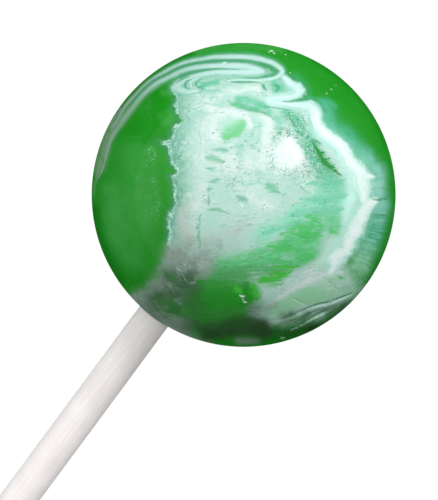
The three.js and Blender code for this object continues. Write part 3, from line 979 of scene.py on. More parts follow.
class Recipe:
    """A node tree that is being written."""

    def __init__(self, tree):
        self.tree = tree
        tree.nodes.clear()

    def node(self, kind, settings=None, inputs=None, output=0):
        """Add a node: its settings are set first, and then its sockets get their values or links."""
        made = self.tree.nodes.new(kind)
        for name, value in (settings or {}).items():
            setattr(made, name, value)
        for name, value in (inputs or {}).items():
            if isinstance(value, Wire):
                self.tree.links.new(value.socket, made.inputs[name])
            else:
                made.inputs[name].default_value = value
        return Wire(self, made.outputs[output])

    def finish(self, kind, surface):
        """Send the finished surface to the tree's output."""
        self.tree.links.new(surface.socket, self.tree.nodes.new(kind).inputs["Surface"])

    def mix(self, share, first, second):
        """A colour between two others."""
        return self.node("ShaderNodeMix", {"data_type": "RGBA"}, {0: share, 6: first, 7: second}, 2)

    def vector(self, operation, *inputs, output=0):
        """A sum on vectors, which a Math node can't do."""
        return self.node("ShaderNodeVectorMath", {"operation": operation}, dict(enumerate(inputs)), output)

    def stored(self, name):
        """The number that was drawn on the mesh under a name."""
        return self.node("ShaderNodeAttribute", {"attribute_name": name}, output="Fac")

    def noise(self, vector, size, detail=3.0, roughness=0.55, distortion=0.0):
        """Noise between about -1 and 1 whose lumps are so many units of the vector across."""
        inputs = {"Vector": vector, "Scale": 1 / size, "Detail": detail, "Roughness": roughness}
        return (self.node("ShaderNodeTexNoise", {}, {**inputs, "Distortion": distortion}) - 0.5) * NOISE_GAIN


# %% Colours and new materials
DARKEST_CURVED = 0.04045  # below this, a screen's colours go up in a straight line


def colour(red, green, blue):
    """A colour as a painter's program shows it, 0 to 255, turned into the amounts of light a shader wants."""
    shares = [channel / 255 for channel in (red, green, blue)]
    return (*[s / 12.92 if s <= DARKEST_CURVED else ((s + 0.055) / 1.055) ** 2.4 for s in shares], 1)


def new_material(name):
    material = bpy.data.materials.new(name)
    material.use_nodes = True
    return material, Recipe(material.node_tree)


# %% [markdown]
# ## Noises for the sugar
# Warm sugar tears, smears and curdles. Each of these has its own noise: lumps of several sizes, level
# smears stretched along the image's width, flecks that rise a little to the right, and rays stretched away
# from one place, the hub. Layers are a noise of how deep a point lies inside a shape, so its streaks follow
# the shape's edge as the folds of pulled sugar do.

# %% Noises
RAY_HUB = (-6.0, 0.5, 0.0)  # the place that the rays point away from
RAY_FINENESS = (26, 26, 0)  # how fast the noise changes from ray to ray
RAY_DRIFT = (0.08, 0.08, 0.08)  # and how slowly it changes along a ray
LAYER_DRIFT = (0.3, 0.3, 0.3)  # the same along a layer
CONTOUR_CROWDING = 9  # how many contours a lump has


class Grain:
    """The noises of the sugar, made once and shared by all its layers."""

    def __init__(self, recipe):
        self.recipe = recipe
        self.place = recipe.node("ShaderNodeAttribute", {"attribute_name": "place"}, output="Vector")
        from_hub = recipe.vector("MULTIPLY", recipe.vector("SUBTRACT", self.place, RAY_HUB), (1, 1, 0))
        round_about = recipe.vector("MULTIPLY", recipe.vector("NORMALIZE", from_hub), RAY_FINENESS)
        outward = recipe.vector("ADD", round_about, recipe.vector("MULTIPLY", self.place, RAY_DRIFT))
        self.coarse = recipe.noise(self.place, 5.0, 2)
        self.lumps = recipe.noise(self.place, 1.5, 4, 0.6)
        self.fine = recipe.noise(self.place, 0.45, 4, 0.65, 0.6)
        self.speckle = recipe.noise(self.place, 0.16, 2, 0.7)
        self.smears = recipe.noise(self.stretched((6.0, 1.0, 2.0), 5), 0.26, 4, 0.6, 0.3)
        self.flecks = recipe.noise(self.stretched((2.5, 1.0, 1.0), 22), 0.17, 2, 0.5)
        self.streaks = recipe.noise(self.stretched((12.0, 1.0, 2.0), 8), 0.2, 5, 0.65, 0.5)
        self.rays = recipe.noise(outward, 0.36, 3, 0.5, 0.2)
        self.contours = (recipe.noise(self.place, 3.2, 2, 0.4, 0.3) * CONTOUR_CROWDING).math("SINE")
        self.rightward = recipe.node("ShaderNodeSeparateXYZ", {}, {0: self.place})
        self.upward = recipe.node("ShaderNodeSeparateXYZ", {}, {0: self.place}, "Y")

    def stretched(self, scale, rising):
        """The places, so that a noise of them comes out longer by the scale, and turned by some degrees."""
        inputs = {"Vector": self.place, "Scale": scale, "Rotation": (0, 0, math.radians(rising))}
        return self.recipe.node("ShaderNodeMapping", {"vector_type": "TEXTURE"}, inputs)

    def layers(self, depth, size):
        """Streaks that run along the edge of a shape, from how deep inside it each place is."""
        inwards = self.recipe.node("ShaderNodeCombineXYZ", {}, {0: depth})
        slow = self.recipe.vector("MULTIPLY", self.place, LAYER_DRIFT)
        return self.recipe.noise(self.recipe.vector("ADD", inwards, slow), size, 4, 0.6)


# %% [markdown]
# ## Boiled sugar: the green ground
# The sugar is opaque but not dead: light goes a little way in, and a thin, hard skin shines on top. Its
# colours are laid over each other from the green ground up, each with its own mask. Every function below
# takes the sugar's colour so far and gives it back with one more kind of detail on it.

# %% The green ground
GREEN = colour(36, 148, 38)
DEEP_GREEN = colour(18, 140, 16)
LIGHT_AND_REFLECTED_GREEN = colour(66, 168, 74)
LIMB_SHADE_GREEN = colour(20, 118, 22)


def green_ground(recipe, grain):
    """Green that is deeper in places and lighter in others, the lighter partly painted light, with painted
    shade at the limb and streaks at the bottom.
    """
    soft = grain.coarse * 0.15 + grain.lumps * 0.1
    deep = recipe.stored("deep") + soft * 0.8
    # lighter green, partly painted reflection and painted light along the left limb and the top rim
    light = recipe.stored("light") * (1 + soft) + soft * 0.15
    sugar = recipe.mix(deep.step(0.1, 1.0), GREEN, DEEP_GREEN)
    sugar = recipe.mix(light.step(0.1, 1.0), sugar, LIGHT_AND_REFLECTED_GREEN)
    # painted shade where the green turns away at the limb
    sugar = recipe.mix(recipe.stored("limb") * 0.9, sugar, LIMB_SHADE_GREEN)
    # low down, dark and light streaks in the sugar, in the same two greens
    streaky = (grain.smears * 0.5 + grain.lumps * 0.6) * grain.upward.step(-8, -10.5)
    sugar = recipe.mix(streaky.step(0.1, 1.2) * 0.5, sugar, LIMB_SHADE_GREEN)
    return recipe.mix(streaky.step(-0.3, -1.3) * 0.25, sugar, LIGHT_AND_REFLECTED_GREEN)


# %% Scuffs and haze
SCUFF_GREEN = colour(140, 210, 165)
HAZE_GREY = colour(128, 160, 134)


def scuffed(recipe, grain, sugar):
    """Fine pale scratches and specks."""
    scuff = recipe.stored("scuff")
    scratches = grain.fine.line(0.1) * grain.lumps.step(-0.4, 0.6) * 0.6
    specks = grain.speckle.step(0.3, 0.9) * scuff.step(0.5, 1.0)
    return recipe.mix((scratches + specks) * scuff, sugar, SCUFF_GREEN)


def hazy(recipe, grain, sugar):
    """The thin grey film down the left limb."""
    haze = recipe.stored("haze") * (1 + grain.lumps * 0.2 + grain.contours * 0.25)
    return recipe.mix(haze.step(0.05, 0.8) * 0.9, sugar, HAZE_GREY)


# %% The veil
VEIL_TEAL = colour(86, 182, 150)
VEIL_MINT = colour(154, 216, 204)
VEIL_PALE = colour(170, 228, 206)
VEIL_DARK = colour(58, 154, 104)
VEIL_LOW = colour(138, 208, 164)


def veiled(recipe, grain, sugar):
    """A teal veil that is mint half way up, greener at the bottom, and raked outwards in fine rays."""
    veil = (recipe.stored("veil") * (1 + grain.lumps * 0.15) + grain.rays * 0.02).step(0.0, 1.15)
    tone = recipe.mix((grain.upward - 1).line(6) * 0.9, VEIL_TEAL, VEIL_MINT)
    tone = recipe.mix(grain.upward.step(-4.0, -8.0), tone, VEIL_LOW)
    sugar = recipe.mix(veil, sugar, tone)
    raked = recipe.stored("raked") * veil
    sugar = recipe.mix(raked * grain.rays.step(0.0, 0.9) * 0.6, sugar, VEIL_PALE)
    return recipe.mix(raked * grain.rays.step(-0.2, -1.1) * 0.5, sugar, VEIL_DARK)


def green_sugar(recipe, grain):
    sugar = green_ground(recipe, grain)
    for lay in (scuffed, hazy, veiled):
        sugar = lay(recipe, grain, sugar)
    return sugar


# %% [markdown]
# ## The milky sugar
# Sugar turns white when it is pulled, because the pulling folds air into it. It is clouded, not even, and
# the green below tints it where it is thin. White clouds on mint give that, with teal mottling and contour
# lines between the clouds. A plain noise would look like fog, so every mask also has smears or fine
# curdling in it.

# %% Clouds and veins
MINT = colour(176, 214, 201)
MILK_WHITE = colour(216, 230, 225)
MOTTLE_TEAL = colour(134, 198, 174)
EDGE_TEAL = colour(100, 172, 142)


def clouded(recipe, grain):
    milk = recipe.stored("milk")
    cloud = milk * 0.75 + grain.coarse * 0.15 + grain.lumps * 0.2 + grain.fine * 0.15 + 0.15
    sugar = recipe.mix(cloud.step(0, 1), MINT, MILK_WHITE)
    mottled = (grain.smears + grain.lumps * 0.8).step(0.3, 1.6) * (1 - milk)
    sugar = recipe.mix(mottled * 0.7, sugar, MOTTLE_TEAL)
    veins = recipe.stored("veins") * (1 - milk)
    sugar = recipe.mix(veins * grain.contours.step(0.2, 1.0) * 0.45, sugar, MOTTLE_TEAL)
    return recipe.mix(veins * grain.contours.line(0.16) * 0.4, sugar, EDGE_TEAL)


# %% The hem
EDGE_LINE = colour(202, 234, 224)
EDGE_DARK = colour(66, 136, 98)
LAYER_THICKNESS = 0.26


def hemmed(recipe, grain, sugar, depth):
    """A teal hem just inside the crisp part of the edge, made of fine layers, with a pale line at its rim."""
    crisp = recipe.stored("crisp")
    layers = grain.layers(depth, LAYER_THICKNESS)
    hem = (depth + grain.lumps * 0.3 + grain.fine * 0.1).step(2.6, 1.0) * crisp
    sugar = recipe.mix(hem * 0.9, sugar, EDGE_TEAL)
    near_edge = depth.step(2.4, 0.8) * crisp
    sugar = recipe.mix(layers.step(0.3, 0.9) * near_edge * 0.55, sugar, EDGE_LINE)
    sugar = recipe.mix(layers.step(-0.3, -1.0) * near_edge * 0.6, sugar, EDGE_DARK)
    rim = (depth - 0.3 + grain.lumps * 0.12).line(0.14) * crisp * grain.fine.step(-1.1, 0.3)
    return recipe.mix(rim * 0.85, sugar, EDGE_LINE)


# %% Sage and teal
SAGE_GREEN = colour(198, 243, 229)
SAGE_LOW = colour(150, 212, 168)
TEAL_PALE = colour(142, 220, 190)
TEAL_GREEN = colour(104, 190, 154)
TEAL_DARK = colour(66, 160, 118)
SMEAR_PALE = colour(160, 228, 194)


def sage_of(recipe, grain):
    sage = recipe.stored("sage") * (1 - recipe.stored("milk"))
    return (sage * (1 + grain.lumps * 0.2 + grain.smears * 0.2)).step(0.1, 0.9)


def sage_and_teal(recipe, grain, sugar):
    """Sage, greener low down, and teal smears with pale and dark streaks where they reach low enough."""
    tone = recipe.mix(grain.upward.step(-9.5, -6.0), SAGE_LOW, SAGE_GREEN)
    sugar = recipe.mix(sage_of(recipe, grain), sugar, tone)
    teal = (recipe.stored("teal") * (1 + grain.smears * 0.3 + grain.lumps * 0.2)).step(0.1, 1.0)
    tone = recipe.mix(grain.upward.step(-1.0, 2.0), TEAL_PALE, TEAL_GREEN)
    tone = recipe.mix(grain.smears.step(-0.3, -1.3) * 0.8, tone, TEAL_DARK)
    sugar = recipe.mix(teal, sugar, tone)
    sugar = recipe.mix(teal * grain.smears.step(0.3, 1.2) * 0.5, sugar, SMEAR_PALE)
    streaky = teal * grain.upward.step(7.0, 4.0)
    sugar = recipe.mix(streaky * grain.streaks.step(0.3, 1.4) * 0.3, sugar, MILK_WHITE)
    return recipe.mix(streaky * grain.streaks.step(-0.2, -1.3) * 0.6, sugar, TEAL_DARK)


# %% Wedges and flecks
WEDGE_MINT = colour(122, 206, 170)
FLECK_TEAL = colour(84, 154, 124)


def wedged(recipe, grain, sugar):
    """Brushed mint wedges, combed dark at their right ends, and small dark flecks off the sage."""
    wedge = (recipe.stored("wedge") + grain.streaks * 0.5 + grain.smears * 0.4).step(-0.4, 0.7)
    brushed = recipe.mix((grain.streaks + grain.smears).step(0.0, -1.8) * 0.9, WEDGE_MINT, TEAL_DARK)
    sugar = recipe.mix(wedge * 0.75, sugar, brushed)
    combed = wedge * grain.rightward.step(6.5, 8.5) * grain.upward.step(-3.5, -1.5)
    sugar = recipe.mix(combed * (grain.smears + grain.flecks * 0.5).step(0.2, 1.6) * 0.6, sugar, FLECK_TEAL)
    flecks = (grain.flecks + grain.lumps * 0.9).step(1.2, 1.8) * (1 - sage_of(recipe, grain))
    return recipe.mix(flecks * 0.8, sugar, FLECK_TEAL)


# %% Froth, partly painted sparkle
FROTH_DARK = colour(44, 124, 84)


def frothed(recipe, grain, sugar):
    """Tiny bubbles, each a white speck or a dark one. The white specks are partly painted sparkle at the edge
    of the glare.
    """
    froth_and_sparkle = recipe.stored("froth_and_sparkle")
    bubbles = grain.speckle + grain.fine * 0.5
    # white specks, partly painted sparkle at the glare's edge
    sugar = recipe.mix(froth_and_sparkle * bubbles.step(0.5, 1.1) * 0.9, sugar, MILK_WHITE)
    return recipe.mix(froth_and_sparkle * bubbles.step(-0.3, -0.9) * 0.9, sugar, FROTH_DARK)


def milky_sugar(recipe, grain, depth):
    sugar = hemmed(recipe, grain, clouded(recipe, grain), depth)
    for lay in (sage_and_teal, wedged, frothed):
        sugar = lay(recipe, grain, sugar)
    return sugar


# %% [markdown]
# ## The two sugars side by side
# How deep a place lies inside the milky sugar's outline decides which sugar shows. Where the edge is crisp
# only a little noise is added to that depth, and where it isn't, the edge is wide, ragged and torn into
# smears.

# %% Milky sugar over green
def milky_depth(recipe, grain):
    """How deep inside the milky sugar each place is, in millimetres, with the ragged edge worked in."""
    crisp = recipe.stored("crisp")
    depth = recipe.stored("milky") + grain.lumps * (0.35 - crisp * 0.25) + grain.fine * 0.16
    torn = grain.upward.step(-7, -9) * grain.rightward.step(3, 0) * (1 - crisp)
    return depth + grain.smears * torn * 0.35


def two_sugars(recipe, grain, depth):
    crisp = recipe.stored("crisp")
    body = (depth / (0.1 + (1 - crisp) * 1.6) + (1 - crisp) * 0.5).step(0, 1)
    fringe = (depth + 0.15).line(0.35) * crisp * 0.6
    ground = recipe.mix(fringe, green_sugar(recipe, grain), EDGE_DARK)
    return recipe.mix(body, ground, milky_sugar(recipe, grain, depth))


# %% [markdown]
# ## What lies across both
# Lime, grey curds, bands and ribbons run over both sugars, so they are laid on after the two are joined.
# Their order is the order in which the real folds overlap.

# %% Lime brush strokes
LIME_GREEN = colour(98, 200, 132)
LIME_DARK = colour(56, 174, 84)
LIME_LOW = colour(72, 150, 78)


def limed(recipe, grain, sugar):
    """Lime green in level brush strokes, with the smears and streaks of the brush in it."""
    lime = (recipe.stored("lime") * (1 + grain.smears * 0.25 + grain.lumps * 0.2)).step(0.15, 0.95)
    tone = recipe.mix(grain.smears.step(0.5, -1.3), LIME_GREEN, LIME_DARK)
    tone = recipe.mix(grain.smears.step(0.3, 1.5) * 0.7, tone, SMEAR_PALE)
    tone = recipe.mix(grain.streaks.step(0.2, 1.4) * 0.4, tone, SMEAR_PALE)
    tone = recipe.mix(grain.streaks.step(-0.2, -1.3) * 0.45, tone, LIME_DARK)
    tone = recipe.mix(grain.upward.step(-6.8, -9.0) * 0.75, tone, LIME_LOW)
    return recipe.mix(lime, sugar, tone)


# %% Curds, moss and painted sheen
GREY_LILAC = colour(142, 160, 150)
PALE_LILAC = colour(186, 200, 192)
DUSK_GREEN = colour(66, 106, 70)
CURD_DARK = colour(92, 122, 102)
CURD_PALE = colour(184, 200, 190)
MOSS_GREEN = colour(46, 122, 50)


def curdled(recipe, grain, sugar):
    """The grey, dusky and mossy sugar of the lower left, with dark and pale curds in it. Part of the grey is
    a painted sheen along the underside and the crease lips.
    """
    # grey curds, and in places a painted sheen
    grey = (recipe.stored("grey") * (1 + grain.lumps * 0.25 + grain.fine * 0.1)).step(0.1, 1.0)
    tone = recipe.mix(grain.upward.step(-6.4, -3.6), GREY_LILAC, PALE_LILAC)
    sugar = recipe.mix(grey, sugar, tone)
    dusk = (recipe.stored("dusk") * (1 + grain.lumps * 0.25 + grain.fine * 0.05)).step(0.0, 1.1)
    sugar = recipe.mix(dusk, sugar, DUSK_GREEN)
    smoother_low = 1 - grain.upward.step(-8, -11) * 0.85
    curds = (grain.fine + grain.lumps * 0.5) * (recipe.stored("grey") + dusk * 0.3) * smoother_low
    sugar = recipe.mix(curds.step(0.2, 1.4) * 0.45, sugar, CURD_DARK)
    sugar = recipe.mix(curds.step(-0.3, -1.4) * 0.3, sugar, CURD_PALE)
    wisps = grain.fine.line(0.14) * grey * grain.lumps.step(-0.2, 0.8) * grain.upward.step(-10, -7)
    sugar = recipe.mix(wisps * 0.3, sugar, CURD_PALE)
    moss = recipe.stored("moss") * (1 + grain.lumps * 0.5 + grain.fine * 0.08)
    return recipe.mix(moss.step(0.0, 1.1), sugar, MOSS_GREEN)


# %% Bands
BAND_PALE = colour(198, 231, 226)
BAND_TEAL = colour(112, 186, 156)


def banded(recipe, grain, sugar):
    """The pale bands along the top, each with a soft teal hem. They fade out down the left."""
    band = recipe.stored("band") + grain.lumps * 0.12 + grain.fine * 0.12
    hem = recipe.mix(grain.rightward.step(-12, -8), HAZE_GREY, BAND_TEAL)
    sugar = recipe.mix(band.step(-2.0, 0.0) * 0.5, sugar, hem)
    strength = grain.rightward.step(-14, -9) * 0.3 + grain.rightward.step(-12, 0) * 0.35 + 0.2
    return recipe.mix(band.step(-0.7, 0.7) * strength, sugar, BAND_PALE)


# %% Ribbons
RIBBON_WHITE = colour(236, 251, 247)
RIBBON_TOP = colour(206, 236, 230)
RIBBON_MINT = colour(184, 224, 216)
RIBBON_SHADE = colour(124, 200, 172)
SKIRT_PALE = colour(206, 244, 232)
RIBBON_LAYER = 0.7


def ribboned(recipe, grain, sugar, depth):
    """The white ribbons: a teal shade below each, a layered mint skirt on the milky side, and the white."""
    high_up = grain.upward.step(-4, 2)
    lumpy = grain.lumps * (0.6 - high_up * 0.3)
    ribbon = recipe.stored("ribbon") + lumpy + grain.rays * (0.2 - high_up * 0.12)
    layers = grain.layers(ribbon, RIBBON_LAYER)
    sugar = recipe.mix(ribbon.step(-3.4, -0.8) * grain.upward.step(10, 7) * 0.7, sugar, RIBBON_SHADE)
    sugar = recipe.mix(ribbon.step(-1.8, -0.4) * 0.8, sugar, RIBBON_SHADE)
    skirt = ribbon.step(-3.6, 0.0) * depth.step(-0.3, 0.5)
    sugar = recipe.mix(skirt * 0.85, sugar, recipe.mix(grain.upward.step(4, 8), SKIRT_PALE, RIBBON_MINT))
    sugar = recipe.mix(skirt * layers.step(0.1, 1.2) * 0.55, sugar, RIBBON_WHITE)
    sugar = recipe.mix(skirt * layers.step(0.0, -1.2) * high_up * 0.5, sugar, EDGE_TEAL)
    white = recipe.mix(grain.upward.step(8.0, 10.0), RIBBON_WHITE, RIBBON_TOP)
    return recipe.mix(ribbon.step(-1.4, 1.2) * 0.95, sugar, white)


# %% [markdown]
# ## Small details
# Last come the threads between the folds, the leaves and patches of green, the painted shade of the dark
# underside, and the frost and glints on the very top, which are partly painted highlights. Their masks go
# past 1 or below 0 at the ends, and the noise added to them decides where each breaks off, so no two edges
# look alike.

# %% Threads and leaves
THREAD_GREEN = colour(70, 154, 106)
LEAF_GREEN = colour(98, 176, 142)
LEAF_DEEP = colour(94, 196, 118)


def threaded(recipe, grain, sugar):
    thread = (recipe.stored("thread") + grain.fine * 0.3).step(-1.0, 0.8)
    return recipe.mix(thread * 0.85, sugar, THREAD_GREEN)


def leafy(recipe, grain, sugar):
    leaf = recipe.stored("leaf") + grain.smears * 0.45 + grain.fine * 0.3
    tone = recipe.mix(grain.lumps.step(0.0, 1.4), LEAF_GREEN, LEAF_DEEP)
    return recipe.mix(leaf.step(-1.0, 1.0) * 0.75, sugar, tone)


# %% The oval
LEAF_PALE = colour(170, 226, 200)
OVAL_SLOPE = (0.55, -0.83, 0.0)  # from the oval's soft upper left to its crisp lower right
OVAL_RISE = 6.9  # how far up that slope its middle lies from the ball's centre


def with_oval(recipe, grain, sugar):
    """The oval patch, deep green and crisp at its lower right, pale and soft at its upper left."""
    downhill = recipe.vector("DOT_PRODUCT", grain.place, OVAL_SLOPE, output="Value") + OVAL_RISE
    softness = 1 - downhill.step(-0.8, 1.0)
    oval = recipe.stored("oval") + grain.fine * 0.06 + grain.lumps * 0.05
    covered = (oval / (0.4 + softness * 0.9)).step(0, 1)
    tone = recipe.mix((downhill + grain.smears * 0.15).step(-0.9, 0.9), LEAF_PALE, LEAF_DEEP)
    return recipe.mix(covered * 0.8, sugar, tone)


# %% Patches of clear green
PATCH_GREEN = colour(76, 192, 98)
CLEAR_GREEN = colour(30, 142, 52)
FRESH_GREEN = colour(66, 188, 58)


def patched(recipe, grain, sugar):
    """Patches of green, and slits through which the clear ground shows, fresher lower down."""
    patch = recipe.stored("patch") + grain.smears * 0.9
    sugar = recipe.mix(patch.step(-0.8, 1.2) * 0.85, sugar, PATCH_GREEN)
    clear = recipe.stored("clear") + grain.smears * 0.5 + grain.fine * 0.3
    fresh = recipe.mix(grain.upward.step(-5, 0), FRESH_GREEN, CLEAR_GREEN)
    sugar = recipe.mix(clear.step(-2.2, 0.0) * 0.5, sugar, fresh)
    return recipe.mix(clear.step(-0.4, 0.5) * 0.9, sugar, fresh)


# %% Painted shade, and frost and glints that are partly painted highlights
UNDERSIDE_SHADE_GREEN = colour(38, 76, 38)
FROST_AND_HIGHLIGHT_WHITE = colour(222, 250, 238)


def painted_shade(recipe, grain, sugar):
    # painted shade on the underside and below the crease lips
    shade = (recipe.stored("shade") * (1 + grain.lumps * 0.1)).step(0.05, 1.0)
    return recipe.mix(shade, sugar, UNDERSIDE_SHADE_GREEN)


def frosted_and_highlighted(recipe, grain, sugar):
    # pale frost, partly scuffed sugar and partly painted highlight, then painted glints
    frost_and_highlight = (recipe.stored("frost_and_highlight") + grain.fine * 0.4).step(-0.4, 0.9)
    sugar = recipe.mix(frost_and_highlight * 0.4, sugar, FROST_AND_HIGHLIGHT_WHITE)
    glint = (recipe.stored("glint") + grain.fine * 0.6 + grain.speckle * 0.3).step(-0.6, 0.8)
    return recipe.mix(glint * 0.9, sugar, FROST_AND_HIGHLIGHT_WHITE)


# %% Everything laid over each other
def sugar_colour(recipe, grain):
    depth = milky_depth(recipe, grain)
    sugar = two_sugars(recipe, grain, depth)
    for lay in (limed, curdled, banded):
        sugar = lay(recipe, grain, sugar)
    sugar = ribboned(recipe, grain, sugar, depth)
    for lay in (threaded, leafy, with_oval, patched, painted_shade, frosted_and_highlighted):
        sugar = lay(recipe, grain, sugar)
    return sugar


# %% [markdown]
# ## The sugar's skin
# The hard skin is a clear coat. Seen straight on it mirrors the lamp, but near the outline a full coat
# would mirror the white room and wash the green out, so it fades there. Froth shines too, and pits in it
# break the glare up. The dents are far finer than the mesh, so they are a bump.

# %% Sugar material
def make_sugar():
    material, recipe = new_material("boiled_sugar")
    grain = Grain(recipe)
    froth_and_sparkle = recipe.stored("froth_and_sparkle")
    dents = grain.fine * 0.8 + grain.lumps * 0.6 + grain.speckle * froth_and_sparkle * 3.0 + grain.flecks * 0.3
    bump = recipe.node("ShaderNodeBump", {}, {"Strength": 0.4, "Distance": 0.03 * MM, "Height": dents})
    facing = recipe.node("ShaderNodeLayerWeight", {}, {"Blend": 0.5}, output="Facing")
    skin = facing.step(0.8, 0.2) * 0.45 + froth_and_sparkle * 0.3
    pits = froth_and_sparkle.step(0.1, 0.6) * (grain.speckle + grain.fine * 0.7).step(0.5, -0.3)
    shader = recipe.node(
        "ShaderNodeBsdfPrincipled",
        {},
        {
            "Base Color": sugar_colour(recipe, grain),
            "Roughness": grain.lumps * 0.02 + 0.35,
            "Normal": bump,
            "Specular IOR Level": 0.0,
            "Coat Weight": skin * (1 - pits * 0.95),
            "Coat Roughness": 0.09,
            "Subsurface Weight": 0.06,
            "Subsurface Radius": (0.0008, 0.0012, 0.0008),
            "Subsurface Scale": 0.5,
        },
    )
    recipe.finish("ShaderNodeOutputMaterial", shader)
    return material


sugar_ball.data.materials.clear()
sugar_ball.data.materials.append(make_sugar())
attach(sugar_ball, "root")
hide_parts("candy")
print("sugar:", len(sugar_ball.data.materials[0].node_tree.nodes), "nodes")

# %% [markdown]
# ## The stick
# A lollipop stick is a strip of paper rolled up tight and pressed, so it is a solid round bar with one long
# seam where the strip ends. The bar is made ring by ring. Its radius grows by a hair over one turn and
# drops back at the seam, and the corners at both ends are rounded off a little.

# %% Rings of a rolled stick
STICK_SIDES = 96
STICK_RINGS = 160
SEAM_STEP = 0.05 * MM
SEAM_TURN = math.radians(200)
END_ROUNDING = 0.25 * MM
ROUNDING_RINGS = 5
WAVINESS = 0.006 * MM
LONG_WAVE, SHORT_WAVE = 9 * MM, 3.7 * MM  # a little uneven along its length, as rolled paper is


def rolled_radius(angle, distance):
    """The stick's radius at an angle from its seam, at a distance from its start."""
    wound = (angle % (2 * math.pi)) / (2 * math.pi)
    wave = math.sin(distance / LONG_WAVE) + math.sin(distance / SHORT_WAVE + 2 * angle)
    from_end = min(distance, stick_length - distance)
    rounding = END_ROUNDING - math.sqrt(max(END_ROUNDING**2 - max(END_ROUNDING - from_end, 0) ** 2, 0))
    return stick_radius - SEAM_STEP * wound - WAVINESS * (1 + wave / 2) - rounding


def ring_distances():
    """Where the rings are: even along the bar, and closer together round its two ends."""
    even = np.linspace(END_ROUNDING, stick_length - END_ROUNDING, STICK_RINGS)
    corner = END_ROUNDING * (1 - np.cos(np.linspace(0, math.pi / 2, ROUNDING_RINGS + 1)[:-1]))
    return [*corner, *even, *(stick_length - corner[::-1])]


# %% Make the stick
SHARP_CORNER = math.radians(40)  # faces that meet at more than this keep a sharp edge


def add_ring(bm, distance):
    """The points round the stick at a distance from its start."""
    turn = Vector((0, 0, 1)).rotation_difference(along_stick)
    seam = Quaternion(along_stick, SEAM_TURN)
    ring = []
    for i in range(STICK_SIDES):
        angle = 2 * math.pi * i / STICK_SIDES
        radius = rolled_radius(angle, distance)
        flat = turn @ Vector((radius * math.cos(angle), radius * math.sin(angle), 0))
        ring.append(bm.verts.new(stick_start + along_stick * distance + seam @ flat))
    return ring


def make_stick():
    bm = bmesh.new()
    rings = [add_ring(bm, distance) for distance in ring_distances()]
    for ring, following in zip(rings, rings[1:]):
        for i in range(STICK_SIDES):
            j = (i + 1) % STICK_SIDES
            bm.faces.new([ring[i], ring[j], following[j], following[i]])
    for ring, middle in ((rings[0][::-1], stick_start), (rings[-1], stick_end)):
        centre = bm.verts.new(middle)
        for i in range(STICK_SIDES):
            bm.faces.new([ring[i], ring[(i + 1) % STICK_SIDES], centre])
    mesh = bpy.data.meshes.new("paper_stick")
    bm.to_mesh(mesh)
    bm.free()
    mesh.shade_smooth()
    mesh.set_sharp_from_angle(angle=SHARP_CORNER)
    stick = bpy.data.objects.new("paper_stick", mesh)
    bpy.context.collection.objects.link(stick)
    return stick


paper_stick = make_stick()
print("stick:", len(paper_stick.data.polygons), "faces")

# %% [markdown]
# ## Rolled paper
# The paper is matt and a little warm, and light goes a short way in. It also glows faintly in its own colour,
# as painted light that lifts its shaded side. Its fibres run along the stick, so the noise that colours and
# bumps it is stretched that way. The places are first turned upright, because a stretch only works along an
# axis.

# %% Paper material
PAPER_WHITE = colour(240, 235, 233)
PAPER_SHADE = colour(226, 219, 217)
FIBRE_WIDTH = 0.25 * MM
FIBRE_STRETCH = (1.0, 1.0, 0.06)
MOTTLE_SIZE = 3 * MM


def make_paper():
    material, recipe = new_material("rolled_paper")
    turn = Vector((0, 0, 1)).rotation_difference(along_stick).inverted().to_euler()
    place = recipe.node("ShaderNodeTexCoord", output="Object")
    upright = recipe.node(
        "ShaderNodeVectorRotate", {"rotation_type": "EULER_XYZ"}, {"Vector": place, "Rotation": turn}
    )
    stretched = recipe.node("ShaderNodeMapping", {}, {"Vector": upright, "Scale": FIBRE_STRETCH})
    fibres = recipe.noise(stretched, FIBRE_WIDTH, 4)
    mottle = recipe.noise(upright, MOTTLE_SIZE, 3)
    tone = recipe.mix((fibres * 0.4 + mottle * 0.25).step(-1, 1), PAPER_WHITE, PAPER_SHADE)
    bump = recipe.node("ShaderNodeBump", {}, {"Strength": 0.2, "Distance": 0.02 * MM, "Height": fibres})
    shader = recipe.node(
        "ShaderNodeBsdfPrincipled",
        {},
        {
            "Base Color": tone,
            "Roughness": fibres * 0.05 + 0.7,
            "Normal": bump,
            "Specular IOR Level": 0.3,
            "Subsurface Weight": 0.6,
            "Subsurface Radius": (0.002, 0.0019, 0.0018),
            "Subsurface Scale": 1.0,
            # painted light: the paper glows faintly in its own colour, which lifts its shaded side
            "Emission Color": tone,
            "Emission Strength": 0.12,
        },
    )
    recipe.finish("ShaderNodeOutputMaterial", shader)
    return material


paper_stick.data.materials.append(make_paper())
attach(paper_stick, "root")
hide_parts("stick")
print("paper:", len(paper_stick.data.materials[0].node_tree.nodes), "nodes")

# %% [markdown]
# ## Table and light
# The table is plain and pale. To the eye it shines white, but on the ball it throws only a soft grey, or
# the green would wash out. The studio is a soft white dome that is darker on the side below the picture,
# with one large soft lamp to the upper right, whose reflection is the broad glare on the ball.

# %% The table
TABLE_SIDE = 4.0
TABLE_GREY = colour(150, 150, 150)  # what the table throws back on the ball
TABLE_WHITE = colour(255, 255, 255)  # what the eye sees


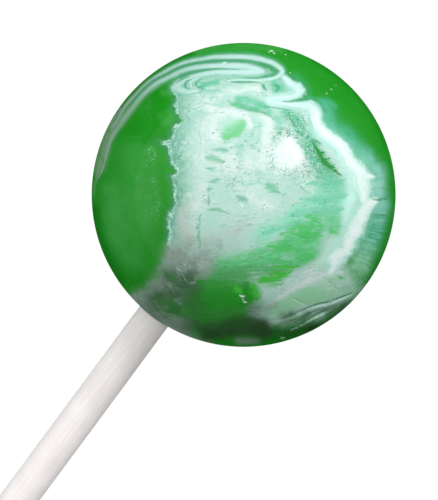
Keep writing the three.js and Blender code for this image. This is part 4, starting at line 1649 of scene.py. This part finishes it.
def make_table():
    bm = bmesh.new()
    bmesh.ops.create_grid(bm, x_segments=1, y_segments=1, size=TABLE_SIDE / 2)
    mesh = bpy.data.meshes.new("table")
    bm.to_mesh(mesh)
    bm.free()
    table = bpy.data.objects.new("table", mesh)
    bpy.context.collection.objects.link(table)
    material, recipe = new_material("pale_table")
    matt = recipe.node("ShaderNodeBsdfDiffuse", {}, {"Color": TABLE_GREY})
    white = recipe.node("ShaderNodeEmission", {}, {"Color": TABLE_WHITE, "Strength": 1.1})
    seen = recipe.node("ShaderNodeLightPath", output="Is Camera Ray")
    surface = recipe.node("ShaderNodeMixShader", {}, {0: seen * 0.9, 1: matt, 2: white})
    recipe.finish("ShaderNodeOutputMaterial", surface)
    mesh.materials.append(material)


make_table()
print("table:", TABLE_SIDE, "m wide")

# %% The dome
DOME_WHITE = colour(252, 254, 255)


def make_dome():
    world = bpy.data.worlds.new("studio")
    world.use_nodes = True
    bpy.context.scene.world = world
    recipe = Recipe(world.node_tree)
    direction = recipe.node("ShaderNodeTexCoord", output="Generated")
    towards_light = image_up * 0.8 - image_right * 0.45 + Vector((0, 0, 0.4))
    height = recipe.vector("DOT_PRODUCT", direction, towards_light, output="Value")
    glow = height.step(-1.0, 0.8) * 0.95 + 0.15
    background = recipe.node("ShaderNodeBackground", {}, {"Color": DOME_WHITE, "Strength": glow})
    recipe.finish("ShaderNodeOutputWorld", background)


make_dome()
print("dome:", bpy.context.scene.world.name)

# %% The lamp
def make_lamp(name, direction, distance, size, power):
    """A soft lamp that shines on the ball from a direction given as right, up and out."""
    data = bpy.data.lights.new(name, "AREA")
    data.shape = "RECTANGLE"
    data.size, data.size_y = size
    data.energy = power
    lamp = bpy.data.objects.new(name, data)
    right, up, out = direction
    towards = (image_right * right + image_up * up + Vector((0, 0, out))).normalized()
    lamp.location = ball_centre + towards * distance
    lamp.rotation_euler = towards.to_track_quat("Z", "Y").to_euler()
    bpy.context.collection.objects.link(lamp)
    return lamp


key = make_lamp("key", (0.51, 0.46, 0.728), distance=0.5, size=(0.16, 0.22), power=1.15)
print("lamp at", tuple(round(c, 3) for c in key.location))

bpy.context.scene.view_settings.view_transform = "Standard"
